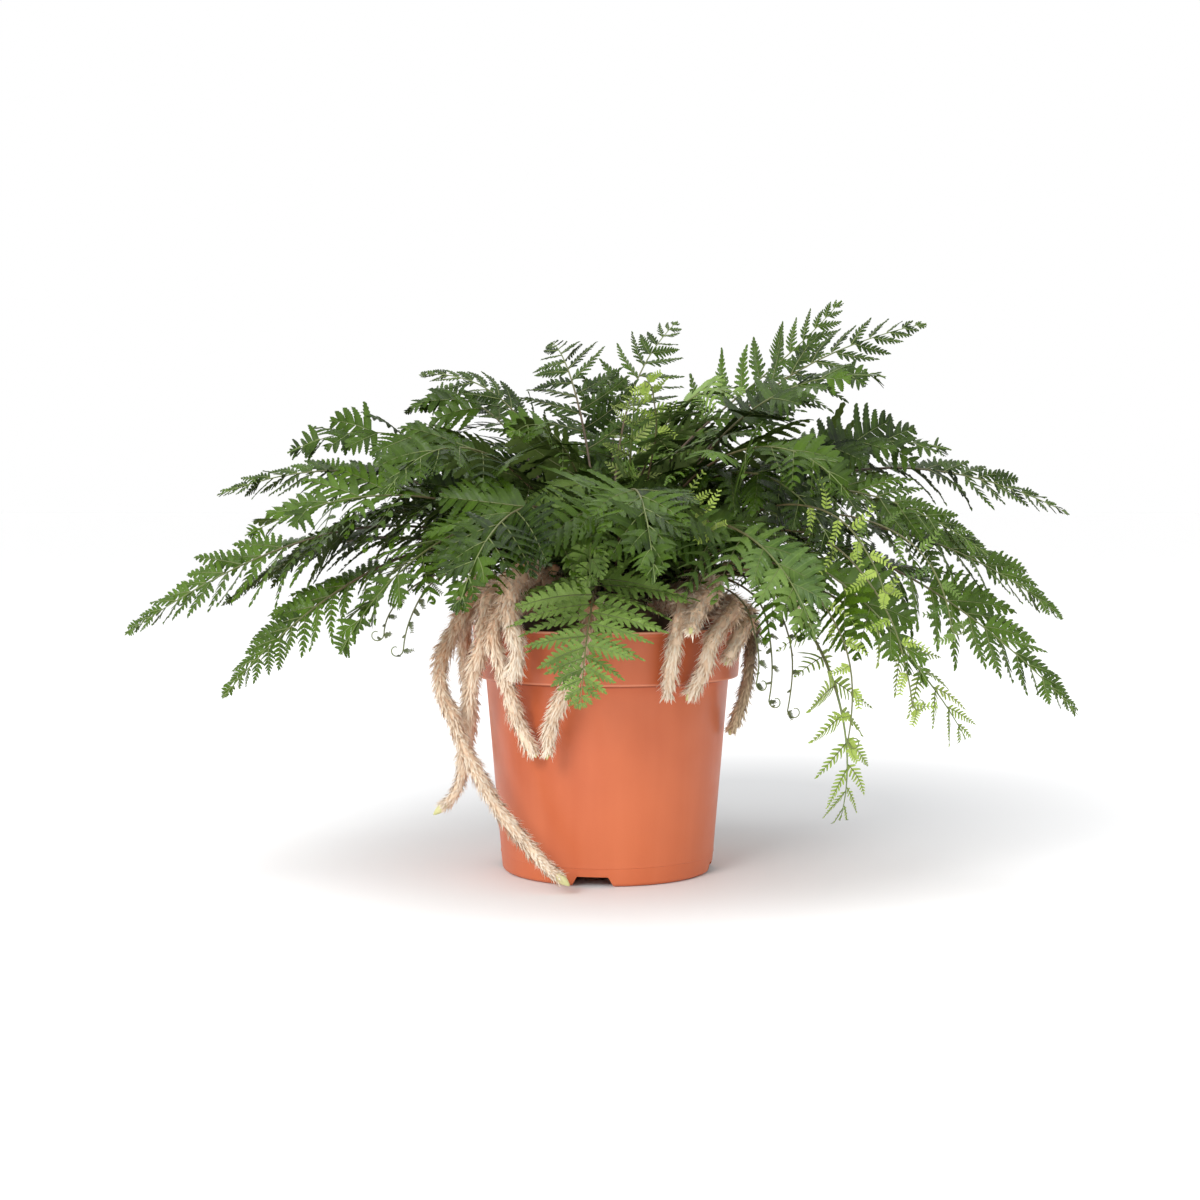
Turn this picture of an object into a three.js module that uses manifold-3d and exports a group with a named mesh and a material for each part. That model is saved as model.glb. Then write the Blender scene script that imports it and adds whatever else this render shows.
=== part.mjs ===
// A white rabbit's foot fern in a round plastic nursery pot.
// Millimetres, +Z up. The origin lies on the surface under the pot's axis, and -Y is the front.
import * as THREE from "three";
import { mergeVertices } from "three/addons/utils/BufferGeometryUtils.js";
import Module from "manifold-3d";

const wasm = await Module();
wasm.setup();

const DEG = Math.PI / 180;
const UP = new THREE.Vector3(0, 0, 1);
const SEAT_GAP = 0.3; // left between pieces that touch

// Pot: driving sizes
const RIM_R = 85;
const POT_HEIGHT = 155;
const WALL = 1.3;
const BAND_BOTTOM_R = 82.8;
const BAND_BOTTOM_Z = 122.5;
const BODY_TOP_R = 76.8;
const BODY_FOOT_R = 66.4;
const FOOT_ROUNDING = 2.6;
const FOOT_RING_WIDTH = 3.4;
const FOOT_RING_DRAFT = 0.4;
const RIM_BEVEL = 0.5; // inwards, over the top of the rim
const RIM_BEVEL_DROP = 2;
const FLOOR_UNDERSIDE_Z = 3.6;
const FLOOR_THICKNESS = 1.6;
const POT_SIDES = 36;
const NOTCH_COUNT = 4;
const NOTCH_AZIMUTH = -98;
const NOTCH_TOP_WIDTH = 19;
const NOTCH_BOTTOM_WIDTH = 27;
const NOTCH_HEIGHT = 6;
const NOTCH_INNER_R = 55;
const DRAIN_HOLE_R = 4;
const DRAIN_HOLE_SIDES = 10;
const DRAIN_RING_R = 38;

// Potting mix and rhizome mat
const MIX_SIDES = 24;
const MIX_EDGE_Z = 146;
const MIX_TOP_Z = 152;
const MIX_RIDGE = [70, 1.2]; // radius, and height above the mix's even top
const MIX_DIP = [58, -0.4];
const MAT_R = 64;
const MAT_HEIGHT = 38;
const MAT_SIDES = 22;
const MAT_RINGS = 5;
const MAT_LUMP = 2.4;
const MAT_EDGE = 4; // least height of the dome's edge above its base

// Rhizomes
const RHIZOME_SIDES = 6;
const SCALE_PITCH = 11; // between rings of scales
const SCALE_RISE = 1.34; // scale tips and the hollows between them, as shares of the radius
const SCALE_HOLLOW = 0.84;
const SCALE_LEAN = 0.35; // how far scale tips point forward, as a share of the pitch
const RHIZOME_TIP = 0.7; // radius of the last ring, as a share

// Fronds
const RIB_HALF = 0.95;
const BLADE_HALF = 0.32; // half the leaf's thickness at its edge
const ROOT_DEPTH = 9;
const ROOT_LENGTH = 26; // the straight foot of a stipe, which stands in its hole
const HOLE_SIDES = 4;
const HOLE_R = 2.3;
const STIPE_STEPS = 3;
const BLADE_ARCH = 0.16; // droop of the pinnae, as a share of the longest one
const PINNA_FILL = 0.9; // share of the space along the rib that the pinnae fill
const PINNA_LIFT = 0.3; // range of the slopes at which the pinnae leave the rib
const PINNA_CROWDING = 1.6; // above 1, pinnae stand closer together towards the tip
const PINNA_TAPER = 0.8; // how the pinnae's length falls off towards the tip
const PINNA_ANGLE = 68; // between the rib and the lowest pinnae
const PINNA_ANGLE_FALL = 28; // what the angle loses by the tip
const MOST_TURNS = 120; // places tried before a frond is given up
const GOLDEN_ANGLE = 137.5;
const TURN = { azimuth: 0.8, tipZ: 2.2, rise: 1.2, bend: 1, roll: 2 }; // how far the places tried lie apart
const TURN_SHRINK = 0.2; // share by which the pinnae of the last place tried are shorter

// Shapes of the pinnae from the lowest pair up: corners of the edge that faces the frond's root and of the edge that
// faces its tip, each a share of the pinna's length and of its half width
const LOWEST_PINNA = {
  rootward: [[0.16, -1.15], [0.34, -1.8], [0.46, -0.95], [0.64, -0.7]],
  tipward: [[0.42, 1], [0.62, 0.62]],
};
const LOBED_PINNA = { rootward: [[0.34, -1], [0.6, -0.62]], tipward: [[0.42, 1], [0.62, 0.62]] };
const NARROW_PINNA = { rootward: [[0.45, -0.85]], tipward: [[0.5, 0.85]] };
const PLAIN_PINNA = { rootward: [], tipward: [] };
const PINNA_SHAPES = [LOWEST_PINNA, LOBED_PINNA, LOBED_PINNA, NARROW_PINNA, PLAIN_PINNA, PLAIN_PINNA, PLAIN_PINNA];
const PINNA_PAIRS = PINNA_SHAPES.length;

// Repeatable random numbers in [0, 1)
function randomFrom(seed) {
  let state = seed >>> 0;
  return () => {
    state = (Math.imul(state, 1664525) + 1013904223) >>> 0;
    return state / 4294967296;
  };
}

const polar = (r, azimuth, z) =>
  new THREE.Vector3(r * Math.cos(azimuth * DEG), r * Math.sin(azimuth * DEG), z);

// Conversions between three.js geometries and manifold solids
function solidFrom(geometry) {
  const g = geometry.index ? geometry.toNonIndexed() : geometry.clone();
  for (const name of Object.keys(g.attributes)) {
    if (name !== "position") g.deleteAttribute(name);
  }
  const merged = mergeVertices(g, 1e-4);
  return new wasm.Manifold(
    new wasm.Mesh({
      numProp: 3,
      vertProperties: new Float32Array(merged.attributes.position.array),
      triVerts: new Uint32Array(merged.index.array),
    }),
  );
}

function geometryFrom(solid) {
  const mesh = solid.getMesh();
  const g = new THREE.BufferGeometry();
  g.setAttribute("position", new THREE.BufferAttribute(new Float32Array(mesh.vertProperties), 3));
  g.setIndex(new THREE.BufferAttribute(new Uint32Array(mesh.triVerts), 1));
  g.computeVertexNormals();
  return g;
}

function indexedGeometry(vertices, faces) {
  const g = new THREE.BufferGeometry();
  g.setAttribute("position", new THREE.Float32BufferAttribute(vertices.flatMap((v) => [v.x, v.y, v.z]), 3));
  g.setIndex(faces.flat());
  return g;
}

// A solid of revolution about Z. The profile runs counter-clockwise in (r, z), from axis to axis.
function turned(profile, sides) {
  const points = profile.map(([r, z]) => new THREE.Vector2(r, z));
  return solidFrom(new THREE.LatheGeometry(points, sides).rotateX(90 * DEG));
}

// Pot
const bodyR = (z) => BODY_FOOT_R + ((BODY_TOP_R - BODY_FOOT_R) * z) / BAND_BOTTOM_Z;
const bandR = (z) =>
  BAND_BOTTOM_R + ((RIM_R - BAND_BOTTOM_R) * (z - BAND_BOTTOM_Z)) / (POT_HEIGHT - BAND_BOTTOM_Z);

function outerProfile(pad) {
  return [
    [BODY_FOOT_R - FOOT_ROUNDING + pad, -pad],
    [bodyR(FOOT_ROUNDING) + pad, FOOT_ROUNDING],
    [bodyR(BAND_BOTTOM_Z) + pad, BAND_BOTTOM_Z - pad],
    [BAND_BOTTOM_R + pad, BAND_BOTTOM_Z - pad],
    [bandR(POT_HEIGHT - RIM_BEVEL_DROP) + pad, POT_HEIGHT - RIM_BEVEL_DROP],
    [RIM_R - RIM_BEVEL + pad, POT_HEIGHT + pad],
  ];
}

function pot() {
  const innerFootR = BODY_FOOT_R - FOOT_ROUNDING - FOOT_RING_WIDTH;
  const floorTop = FLOOR_UNDERSIDE_Z + FLOOR_THICKNESS;
  const ledge = BAND_BOTTOM_Z + FLOOR_THICKNESS;
  let solid = turned(
    [
      [0, FLOOR_UNDERSIDE_Z],
      [innerFootR, FLOOR_UNDERSIDE_Z],
      [innerFootR + FOOT_RING_DRAFT, 0],
      ...outerProfile(0),
      [RIM_R - WALL, POT_HEIGHT],
      [bandR(ledge) - WALL, ledge],
      [bodyR(ledge) - WALL, ledge],
      [bodyR(floorTop) - WALL, floorTop],
      [0, floorTop],
    ],
    POT_SIDES,
  );
  for (let i = 0; i < NOTCH_COUNT; i++) {
    solid = solid.subtract(notch(NOTCH_AZIMUTH + (i * 360) / NOTCH_COUNT));
    solid = solid.subtract(drainHole(NOTCH_AZIMUTH + ((i + 0.5) * 360) / NOTCH_COUNT));
  }
  return solid;
}

// A drain notch: a trapezoid cut through the foot ring and the edge of the floor
function notch(azimuth) {
  const outline = new THREE.Shape([
    new THREE.Vector2(-NOTCH_BOTTOM_WIDTH / 2, -1),
    new THREE.Vector2(NOTCH_BOTTOM_WIDTH / 2, -1),
    new THREE.Vector2(NOTCH_TOP_WIDTH / 2, NOTCH_HEIGHT),
    new THREE.Vector2(-NOTCH_TOP_WIDTH / 2, NOTCH_HEIGHT),
  ]);
  const depth = RIM_R - NOTCH_INNER_R;
  const cut = new THREE.ExtrudeGeometry(outline, { depth, bevelEnabled: false });
  cut.rotateX(90 * DEG).translate(0, -NOTCH_INNER_R, 0).rotateZ((azimuth + 90) * DEG);
  return solidFrom(cut);
}

function drainHole(azimuth) {
  const at = polar(DRAIN_RING_R, azimuth, FLOOR_UNDERSIDE_Z);
  const cut = new THREE.CylinderGeometry(DRAIN_HOLE_R, DRAIN_HOLE_R, 4 * FLOOR_THICKNESS, DRAIN_HOLE_SIDES);
  return solidFrom(cut.rotateX(90 * DEG).translate(at.x, at.y, at.z));
}

// Potting mix: fills the pot to just under the rim
const mixTopZ = (r) => MIX_EDGE_Z + (MIX_TOP_Z - MIX_EDGE_Z) * (1 - (r / RIM_R) ** 2);

function pottingMix(pad = 0) {
  const side = WALL + SEAT_GAP + RIM_R * (1 - Math.cos(Math.PI / POT_SIDES)); // clear of the pot's flat facets
  const floor = FLOOR_UNDERSIDE_Z + FLOOR_THICKNESS + SEAT_GAP;
  const ledge = BAND_BOTTOM_Z + FLOOR_THICKNESS + SEAT_GAP;
  const edgeR = bandR(MIX_EDGE_Z) - side;
  return turned(
    [
      [0, floor],
      [bodyR(floor) - side, floor],
      [bodyR(ledge) - side, ledge],
      [bandR(ledge) - side, ledge],
      [edgeR, MIX_EDGE_Z + pad],
      ...[MIX_RIDGE, MIX_DIP].map(([r, height]) => [r, mixTopZ(r) + height + pad]),
      [0, MIX_TOP_Z + pad],
    ],
    MIX_SIDES,
  );
}

// Rhizome mat: the knot of creeping stems on the mix, a lumpy dome
function matTopZ(r) {
  const share = Math.min(1, r / MAT_R);
  return MIX_TOP_Z + MAT_HEIGHT * (1 - share ** 2.4) ** 0.8;
}

function matLump(r, azimuth) {
  const ridges = Math.sin(9 * azimuth + 0.07 * r) + 0.6 * Math.sin(5 * azimuth - 0.13 * r + 1.7);
  return MAT_LUMP * ridges * Math.min(1, r / 20);
}

function rhizomeMat(pad = 0) {
  const vertices = [];
  const faces = [];
  const base = MIX_TOP_Z + SEAT_GAP - pad;
  vertices.push(new THREE.Vector3(0, 0, base));
  vertices.push(new THREE.Vector3(0, 0, matTopZ(0) + pad));
  const ringStart = (ring) => 2 + ring * MAT_SIDES;
  for (let ring = 0; ring <= MAT_RINGS; ring++) {
    const share = ring === 0 ? 1 : 1 - (ring - 1) / MAT_RINGS;
    for (let k = 0; k < MAT_SIDES; k++) {
      const azimuth = ((k + 0.5 * (ring % 2)) * 2 * Math.PI) / MAT_SIDES;
      const r = share * (MAT_R + matLump(MAT_R, azimuth)) + pad;
      const top = Math.max(base + MAT_EDGE, matTopZ(share * MAT_R) + 0.8 * matLump(r, azimuth) * share + pad);
      const z = ring === 0 ? base : top;
      vertices.push(new THREE.Vector3(r * Math.cos(azimuth), r * Math.sin(azimuth), z));
    }
  }
  for (let k = 0; k < MAT_SIDES; k++) {
    const next = (k + 1) % MAT_SIDES;
    faces.push([0, ringStart(0) + next, ringStart(0) + k]);
    faces.push([1, ringStart(MAT_RINGS) + k, ringStart(MAT_RINGS) + next]);
    for (let ring = 0; ring < MAT_RINGS; ring++) {
      const a = ringStart(ring);
      const b = ringStart(ring + 1);
      const shifted = ring % 2 === 0;
      if (shifted) {
        faces.push([a + k, a + next, b + k], [a + next, b + next, b + k]);
      } else {
        faces.push([a + k, b + next, b + k], [a + k, a + next, b + next]);
      }
    }
  }
  return solidFrom(indexedGeometry(vertices, faces));
}

// Rhizomes: [x, y, z, radius] along each one, from the mat over the rim to the hanging tip
const RHIZOMES = {
  left_long: [
    [-38, -18, 168, 8.5], [-56, -28, 177, 9], [-79, -38, 181, 9], [-87, -46, 165, 7.5],
    [-95, -50, 150, 6.6], [-101, -54, 134, 6.2], [-100, -55, 116, 6], [-94, -57, 103, 5.8],
    [-87, -62, 86, 5.6], [-77, -67, 67, 5.6], [-64, -73, 47, 5.5], [-49, -80, 29.5, 5.3],
    [-37, -86, 17, 5], [-23, -92, 6.4, 3.6],
  ],
  left_forked: [
    [-32, -28, 168, 7], [-50, -44, 176, 7.5], [-70, -60, 176, 7.5], [-73, -66, 163, 6.8],
    [-75, -66, 149, 6.2], [-80, -57, 132, 5.8], [-85, -47, 105, 5.6], [-88, -42, 84, 5.2],
    [-89, -42, 66, 4.8], [-93, -44, 54, 4.4], [-99, -45, 47, 4], [-106, -46, 41, 3],
  ],
  left_inner: [
    [-27, -33, 164, 6], [-42, -51, 168, 6], [-63, -74, 167, 6], [-68, -81, 153, 6],
    [-64, -73, 137, 5.8], [-59, -69, 119, 5.8], [-54, -67, 101, 5.8], [-48, -67, 88, 5.6],
    [-43, -68, 79, 4],
  ],
  left_thick: [
    [-22, -30, 172, 8], [-36, -46, 184, 9.5], [-50, -66, 188, 10], [-57, -84, 178, 8.5],
    [-57, -91, 162, 6.6], [-53, -90, 146, 6], [-55, -85, 132, 5.4], [-56, -83, 126, 3.6],
  ],
  front_hidden: [
    [-7, -42, 166, 6], [-9, -62, 168, 6.5], [-10, -80, 168, 6.2], [-13, -93, 152, 6],
    [-19, -93, 133, 6], [-27, -90, 117, 5.8], [-34, -85, 98, 5.6], [-36, -84, 80, 3.8],
  ],
  front_right: [
    [24, -34, 168, 6], [36, -54, 170, 6.5], [44, -74, 170, 6.3], [40, -86, 152, 6],
    [37, -86, 134, 6], [35, -83, 115, 4],
  ],
  front_right_stub: [
    [32, -22, 172, 7], [52, -42, 180, 7.5], [62, -64, 180, 7.5], [54, -83, 169, 6.4],
    [48, -94, 155, 4],
  ],
  right_front: [
    [38, -12, 168, 6.5], [62, -32, 171, 7], [76, -56, 168, 7], [69, -69, 160, 6.4],
    [61, -76, 147, 6.2], [58, -75, 133, 6], [52, -74, 122, 5.6], [47, -74, 114, 4],
  ],
  right_stub: [
    [42, -3, 164, 6], [68, -16, 166, 6.5], [85, -38, 163, 6.5], [81, -52, 154, 6],
    [75, -59, 143, 5.6], [71, -60, 134, 4],
  ],
  right_outer: [
    [42, 4, 164, 6], [70, -1, 167, 6], [86, -10, 164, 5.8], [90, -24, 152, 5.6],
    [88, -31, 138, 5.4], [87, -31, 125, 5.2], [84, -27, 109, 5], [80, -24, 97, 4.8],
    [76, -22, 87, 3.4],
  ],
  right_arching: [
    [36, 18, 168, 6.5], [58, 19, 177, 7], [80, 16, 190, 6.8], [100, 12, 192, 6.6],
    [112, 10, 187, 6.4], [118, 9, 176, 6], [119, 9, 163, 4],
  ],
  back_right: [
    [32, 27, 166, 6.5], [50, 46, 171, 7], [66, 64, 170, 6.6], [70, 68, 152, 6.2],
    [66, 66, 128, 6], [62, 60, 106, 5.8], [56, 56, 88, 3.8],
  ],
  back_middle: [
    [5, 42, 166, 6.5], [9, 64, 172, 7], [10, 84, 172, 6.6], [14, 95, 152, 6.4],
    [10, 94, 128, 6], [4, 84, 100, 5.8], [0, 79, 72, 5.4], [2, 77, 58, 3.8],
  ],
  back_far_left: [
    [-38, 15, 166, 7], [-60, 25, 173, 7.5], [-82, 34, 172, 7.2], [-92, 36, 152, 6.4],
    [-92, 30, 126, 6], [-88, 24, 100, 5.8], [-90, 18, 76, 5.4], [-95, 16, 62, 3.8],
  ],
};

// A six-sided stem whose rings of corners alternate between raised scale tips and hollows
function rhizomeStem(rows, pad = 0) {
  const curve = new THREE.CatmullRomCurve3(rows.map(([x, y, z]) => new THREE.Vector3(x, y, z)), false, "centripetal");
  const length = curve.getLength();
  const steps = Math.round(length / SCALE_PITCH);
  const frames = curve.computeFrenetFrames(steps, false);
  const radiusAt = (t) => {
    const at = t * (rows.length - 1);
    const i = Math.min(rows.length - 2, Math.floor(at));
    return THREE.MathUtils.lerp(rows[i][3], rows[i + 1][3], at - i);
  };
  const vertices = [];
  for (let j = 0; j <= steps; j++) {
    const u = j / steps;
    const centre = curve.getPointAt(u);
    const radius = radiusAt(curve.getUtoTmapping(u));
    for (let k = 0; k < RHIZOME_SIDES; k++) {
      const angle = (k * 2 * Math.PI) / RHIZOME_SIDES;
      const raised = (j + k) % 2 === 0 && j > 0 && j < steps;
      const r = radius * (raised ? SCALE_RISE : SCALE_HOLLOW) * (j === steps ? RHIZOME_TIP : 1) + pad;
      const forward = raised ? SCALE_LEAN * SCALE_PITCH : 0;
      vertices.push(
        centre
          .clone()
          .addScaledVector(frames.normals[j], r * Math.cos(angle))
          .addScaledVector(frames.binormals[j], r * Math.sin(angle))
          .addScaledVector(frames.tangents[j], forward),
      );
    }
  }
  const last = curve.getPointAt(1).addScaledVector(frames.tangents[steps], rows[rows.length - 1][3]);
  vertices.push(curve.getPointAt(0), last);
  const rootCentre = vertices.length - 2;
  const tip = vertices.length - 1;
  const faces = [];
  for (let k = 0; k < RHIZOME_SIDES; k++) {
    const next = (k + 1) % RHIZOME_SIDES;
    faces.push([rootCentre, next, k]);
    faces.push([tip, steps * RHIZOME_SIDES + k, steps * RHIZOME_SIDES + next]);
    for (let j = 0; j < steps; j++) {
      const a = j * RHIZOME_SIDES;
      const b = a + RHIZOME_SIDES;
      if ((j + k) % 2 === 0) faces.push([a + k, a + next, b + k], [a + next, b + next, b + k]);
      else faces.push([a + k, a + next, b + next], [a + k, b + next, b + k]);
    }
  }
  return solidFrom(indexedGeometry(vertices, faces));
}

// What the rhizomes lie against, grown by the seat gap
function seatSolid() {
  const filled = [[0, -SEAT_GAP], ...outerProfile(SEAT_GAP), [RIM_R - 4, POT_HEIGHT + SEAT_GAP], [0, MIX_EDGE_Z]];
  return turned(filled, POT_SIDES).add(pottingMix(SEAT_GAP)).add(rhizomeMat(SEAT_GAP));
}

// Fronds, one row each: azimuth, reach and height of the tip, distance of the root from the pot's axis, how far
// round from the tip's azimuth the root stands, slope of the stipe where it starts and of the blade where it ends
// (degrees above the horizon), how strongly the midline arches, length of the longest pinna, share of the frond that
// is blade, roll of the blade
const FROND_COLUMNS = [
  "azimuth", "reach", "tipZ", "rootR", "bend", "rise", "fall", "pull", "pinna", "blade", "roll", "look",
];
const FRONDS = [
  // those that draw the outline seen from the front
  [22, 167, 365, 12, 25, 80, 50, 0.4, 62, 0.56, -50, "mature"],
  [67, 130, 354, 10, 10, 84, 30, 0.4, 54, 0.6, -30, "mature"],
  [112, 130, 336, 12, 0, 82, 8, 0.4, 56, 0.54, 20, "mature"],
  [166, 126, 329, 14, -14, 80, -5, 0.4, 54, 0.56, 40, "mature"],
  [0, 200, 330, 14, 6, 74, 12, 0.4, 58, 0.54, -42, "mature"],
  [-24, 180, 296, 18, 0, 70, -8, 0.4, 56, 0.64, -32, "mature"],
  [-33, 163, 44, 40, 22, 44, -112, 0.48, 27, 0.36, -20, "young"],
  [-14, 224, 88, 42, 16, 36, -60, 0.4, 28, 0.4, -30, "young"],
  [-96, 148, 116, 40, 4, 60, -76, 0.42, 58, 0.68, 0, "fresh"],
  [-18, 290, 107, 36, 10, 52, -46, 0.4, 62, 0.54, -34, "mature"],
  [3, 296, 224, 36, 4, 58, -28, 0.4, 44, 0.46, -36, "mature"],
  [174, 253, 236, 34, -6, 56, -22, 0.4, 46, 0.48, 36, "mature"],
  [-165, 226, 214, 28, -12, 60, -28, 0.4, 58, 0.66, 34, "mature"],
  [-177, 200, 262, 24, -10, 68, -30, 0.4, 62, 0.66, 32, "mature"],
  [-7, 281, 155, 40, 8, 50, -40, 0.4, 62, 0.54, -36, "mature"],
  [-6, 214, 264, 26, 8, 62, -14, 0.4, 60, 0.66, -36, "mature"],
  [-176, 301, 149, 38, -8, 50, -36, 0.4, 60, 0.54, 36, "mature"],
  [-164, 240, 114, 34, -22, 56, -48, 0.4, 50, 0.52, 32, "mature"],
  [176, 250, 180, 42, 2, 50, -38, 0.42, 56, 0.56, 28, "mature"],
  [-10, 236, 200, 30, -6, 60, -38, 0.45, 58, 0.58, -34, "mature"],
  [-37, 226, 128, 30, 8, 58, -56, 0.4, 58, 0.66, -24, "mature"],
  [-140, 196, 150, 20, -4, 72, -60, 0.45, 58, 0.68, 16, "mature"],
  // those that hang over the front
  [-84, 226, 190, 34, 0, 64, -56, 0.45, 60, 0.62, 0, "mature"],
  [-112, 214, 172, 30, 0, 64, -60, 0.45, 62, 0.62, 14, "mature"],
  [-56, 202, 156, 30, 0, 64, -66, 0.45, 60, 0.62, -14, "fresh"],
  [-92, 104, 186, 22, 0, 84, -84, 1.0, 60, 0.6, 0, "fresh"],
  [-32, 168, 196, 26, 6, 72, -64, 0.6, 60, 0.6, -24, "mature"],
  [-44, 112, 294, 14, -8, 84, -22, 0.4, 58, 0.68, -20, "fresh"],
  [-112, 116, 276, 14, 10, 84, -34, 0.4, 60, 0.68, 16, "mature"],
  [-132, 186, 236, 22, -4, 70, -48, 0.45, 62, 0.6, 20, "mature"],
  [-48, 192, 236, 22, 4, 70, -48, 0.45, 62, 0.6, -20, "mature"],
  [-66, 60, 300, 26, 12, 84, 40, 0.4, 28, 0.4, 0, "young"],
  // those behind
  [90, 190, 320, 22, -5, 80, 0, 0.4, 62, 0.62, 0, "mature"],
  [32, 230, 260, 28, 0, 64, -24, 0.45, 64, 0.68, -16, "mature"],
  [68, 222, 262, 28, 5, 66, -26, 0.45, 64, 0.68, -14, "mature"],
  [106, 222, 256, 32, -5, 66, -28, 0.45, 64, 0.68, 14, "mature"],
  [140, 226, 266, 28, 4, 66, -26, 0.45, 64, 0.68, 16, "mature"],
  [154, 150, 300, 18, 0, 74, -26, 0.45, 60, 0.6, 24, "mature"],
  [22, 280, 186, 40, 0, 54, -40, 0.45, 62, 0.56, -16, "mature"],
  [52, 256, 176, 40, 4, 56, -48, 0.5, 62, 0.58, -14, "mature"],
  [86, 228, 164, 40, 0, 58, -58, 0.55, 62, 0.68, -8, "mature"],
  [122, 250, 172, 40, 3, 56, -48, 0.5, 62, 0.58, 12, "mature"],
  [152, 268, 178, 40, -4, 54, -40, 0.45, 62, 0.56, 16, "mature"],
].map((row) => Object.fromEntries(row.map((value, i) => [FROND_COLUMNS[i], value])));

// The k-th place tried for a frond: a spiral of small turns round its row's own place
function tried(frond, k) {
  const spread = Math.sqrt(k);
  const angle = k * GOLDEN_ANGLE * DEG;
  return {
    ...frond,
    azimuth: frond.azimuth + TURN.azimuth * spread * Math.cos(angle),
    tipZ: frond.tipZ + TURN.tipZ * spread * Math.sin(angle),
    rise: frond.rise + TURN.rise * spread * Math.cos(2 * angle),
    bend: frond.bend + TURN.bend * spread * Math.sin(3 * angle),
    roll: frond.roll + TURN.roll * spread * Math.cos(5 * angle),
    pinna: frond.pinna * (1 - (TURN_SHRINK * k) / MOST_TURNS),
  };
}

// Midline of a frond: a Bezier from the root in the mat to the tip, sampled by length
function midline(frond) {
  const rootAzimuth = frond.azimuth + frond.bend;
  const root = polar(frond.rootR, rootAzimuth, matTopZ(frond.rootR) - ROOT_DEPTH);
  const tip = polar(frond.reach, frond.azimuth, frond.tipZ);
  const pull = frond.pull * root.distanceTo(tip);
  const heading = (azimuth, slope) => polar(Math.cos(slope * DEG), azimuth, Math.sin(slope * DEG));
  return new THREE.CubicBezierCurve3(
    root,
    root.clone().addScaledVector(heading(rootAzimuth, frond.rise), pull),
    tip.clone().addScaledVector(heading(frond.azimuth - frond.bend, frond.fall), -pull),
    tip,
  );
}

// Where pinna j starts along the blade, as a share of its length: closer together towards the tip
const pinnaStart = (j) => 1 - (1 - j / (PINNA_PAIRS + 0.6)) ** PINNA_CROWDING;
const pinnaLength = (share, frond) => frond.pinna * (1 - share) ** PINNA_TAPER;
const pinnaAngle = (share) => (PINNA_ANGLE - PINNA_ANGLE_FALL * share) * DEG;

// One pinna: its tip and the corners of its two edges, each as [along, across, lift] from the blade's base
function pinnaCorners(frond, j, side, length, random) {
  const from = pinnaStart(j);
  const to = pinnaStart(j + 1);
  const middle = (from + to) / 2;
  const reach = pinnaLength(middle, frond) * (0.92 + 0.16 * random());
  const angle = pinnaAngle(middle) * (0.96 + 0.08 * random());
  const half = 0.5 * (to - from) * length * Math.sin(angle) * PINNA_FILL;
  const lift = PINNA_LIFT * (random() - 0.5);
  const at = ([along, off]) => [
    middle * length + along * reach * Math.cos(angle) + off * half * Math.sin(angle),
    side * Math.max(RIB_HALF, along * reach * Math.sin(angle) - off * half * Math.cos(angle) + RIB_HALF),
    lift,
  ];
  const { rootward, tipward } = PINNA_SHAPES[j];
  return { tip: at([1, 0]), rootward: rootward.map(at), tipward: tipward.map(at) };
}

// Puts a corner of the flat blade into place on the arched, rolled blade, off its middle surface by a height
function bladePlacer(frond, curve, stipe, length) {
  const total = stipe + length;
  const across = polar(1, frond.azimuth - 90, 0);
  return ([s, v, lift], height) => {
    const u = THREE.MathUtils.clamp((s + stipe) / total, 0, 1);
    const tangent = curve.getTangentAt(u);
    const sideways = across.clone().addScaledVector(tangent, -across.dot(tangent)).normalize();
    const normal = new THREE.Vector3().crossVectors(sideways, tangent);
    const roll = frond.roll * DEG * THREE.MathUtils.clamp((2 * s) / length, 0, 1);
    const out = sideways.clone().multiplyScalar(Math.cos(roll)).addScaledVector(normal, Math.sin(roll));
    const up = normal.multiplyScalar(Math.cos(roll)).addScaledVector(sideways, -Math.sin(roll));
    const arch = (-BLADE_ARCH * v * v) / frond.pinna + lift * Math.abs(v);
    return curve.getPointAt(u).addScaledVector(out, v).addScaledVector(up, arch + height);
  };
}

// Triangles between a pinna's two edges, from the rib outwards, closed by its tip
function pinnaFaces(corners, rootward, tipward, tip) {
  const faces = [];
  let [i, j] = [0, 0];
  while (i + 1 < rootward.length || j + 1 < tipward.length) {
    const nextRootward = i + 1 < rootward.length ? Math.abs(corners[rootward[i + 1]][1]) : Infinity;
    const nextTipward = j + 1 < tipward.length ? Math.abs(corners[tipward[j + 1]][1]) : Infinity;
    if (nextRootward < nextTipward) faces.push([rootward[i], tipward[j], rootward[++i]]);
    else faces.push([rootward[i], tipward[j], tipward[++j]]);
  }
  faces.push([rootward[i], tipward[j], tip]);
  return faces;
}

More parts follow.
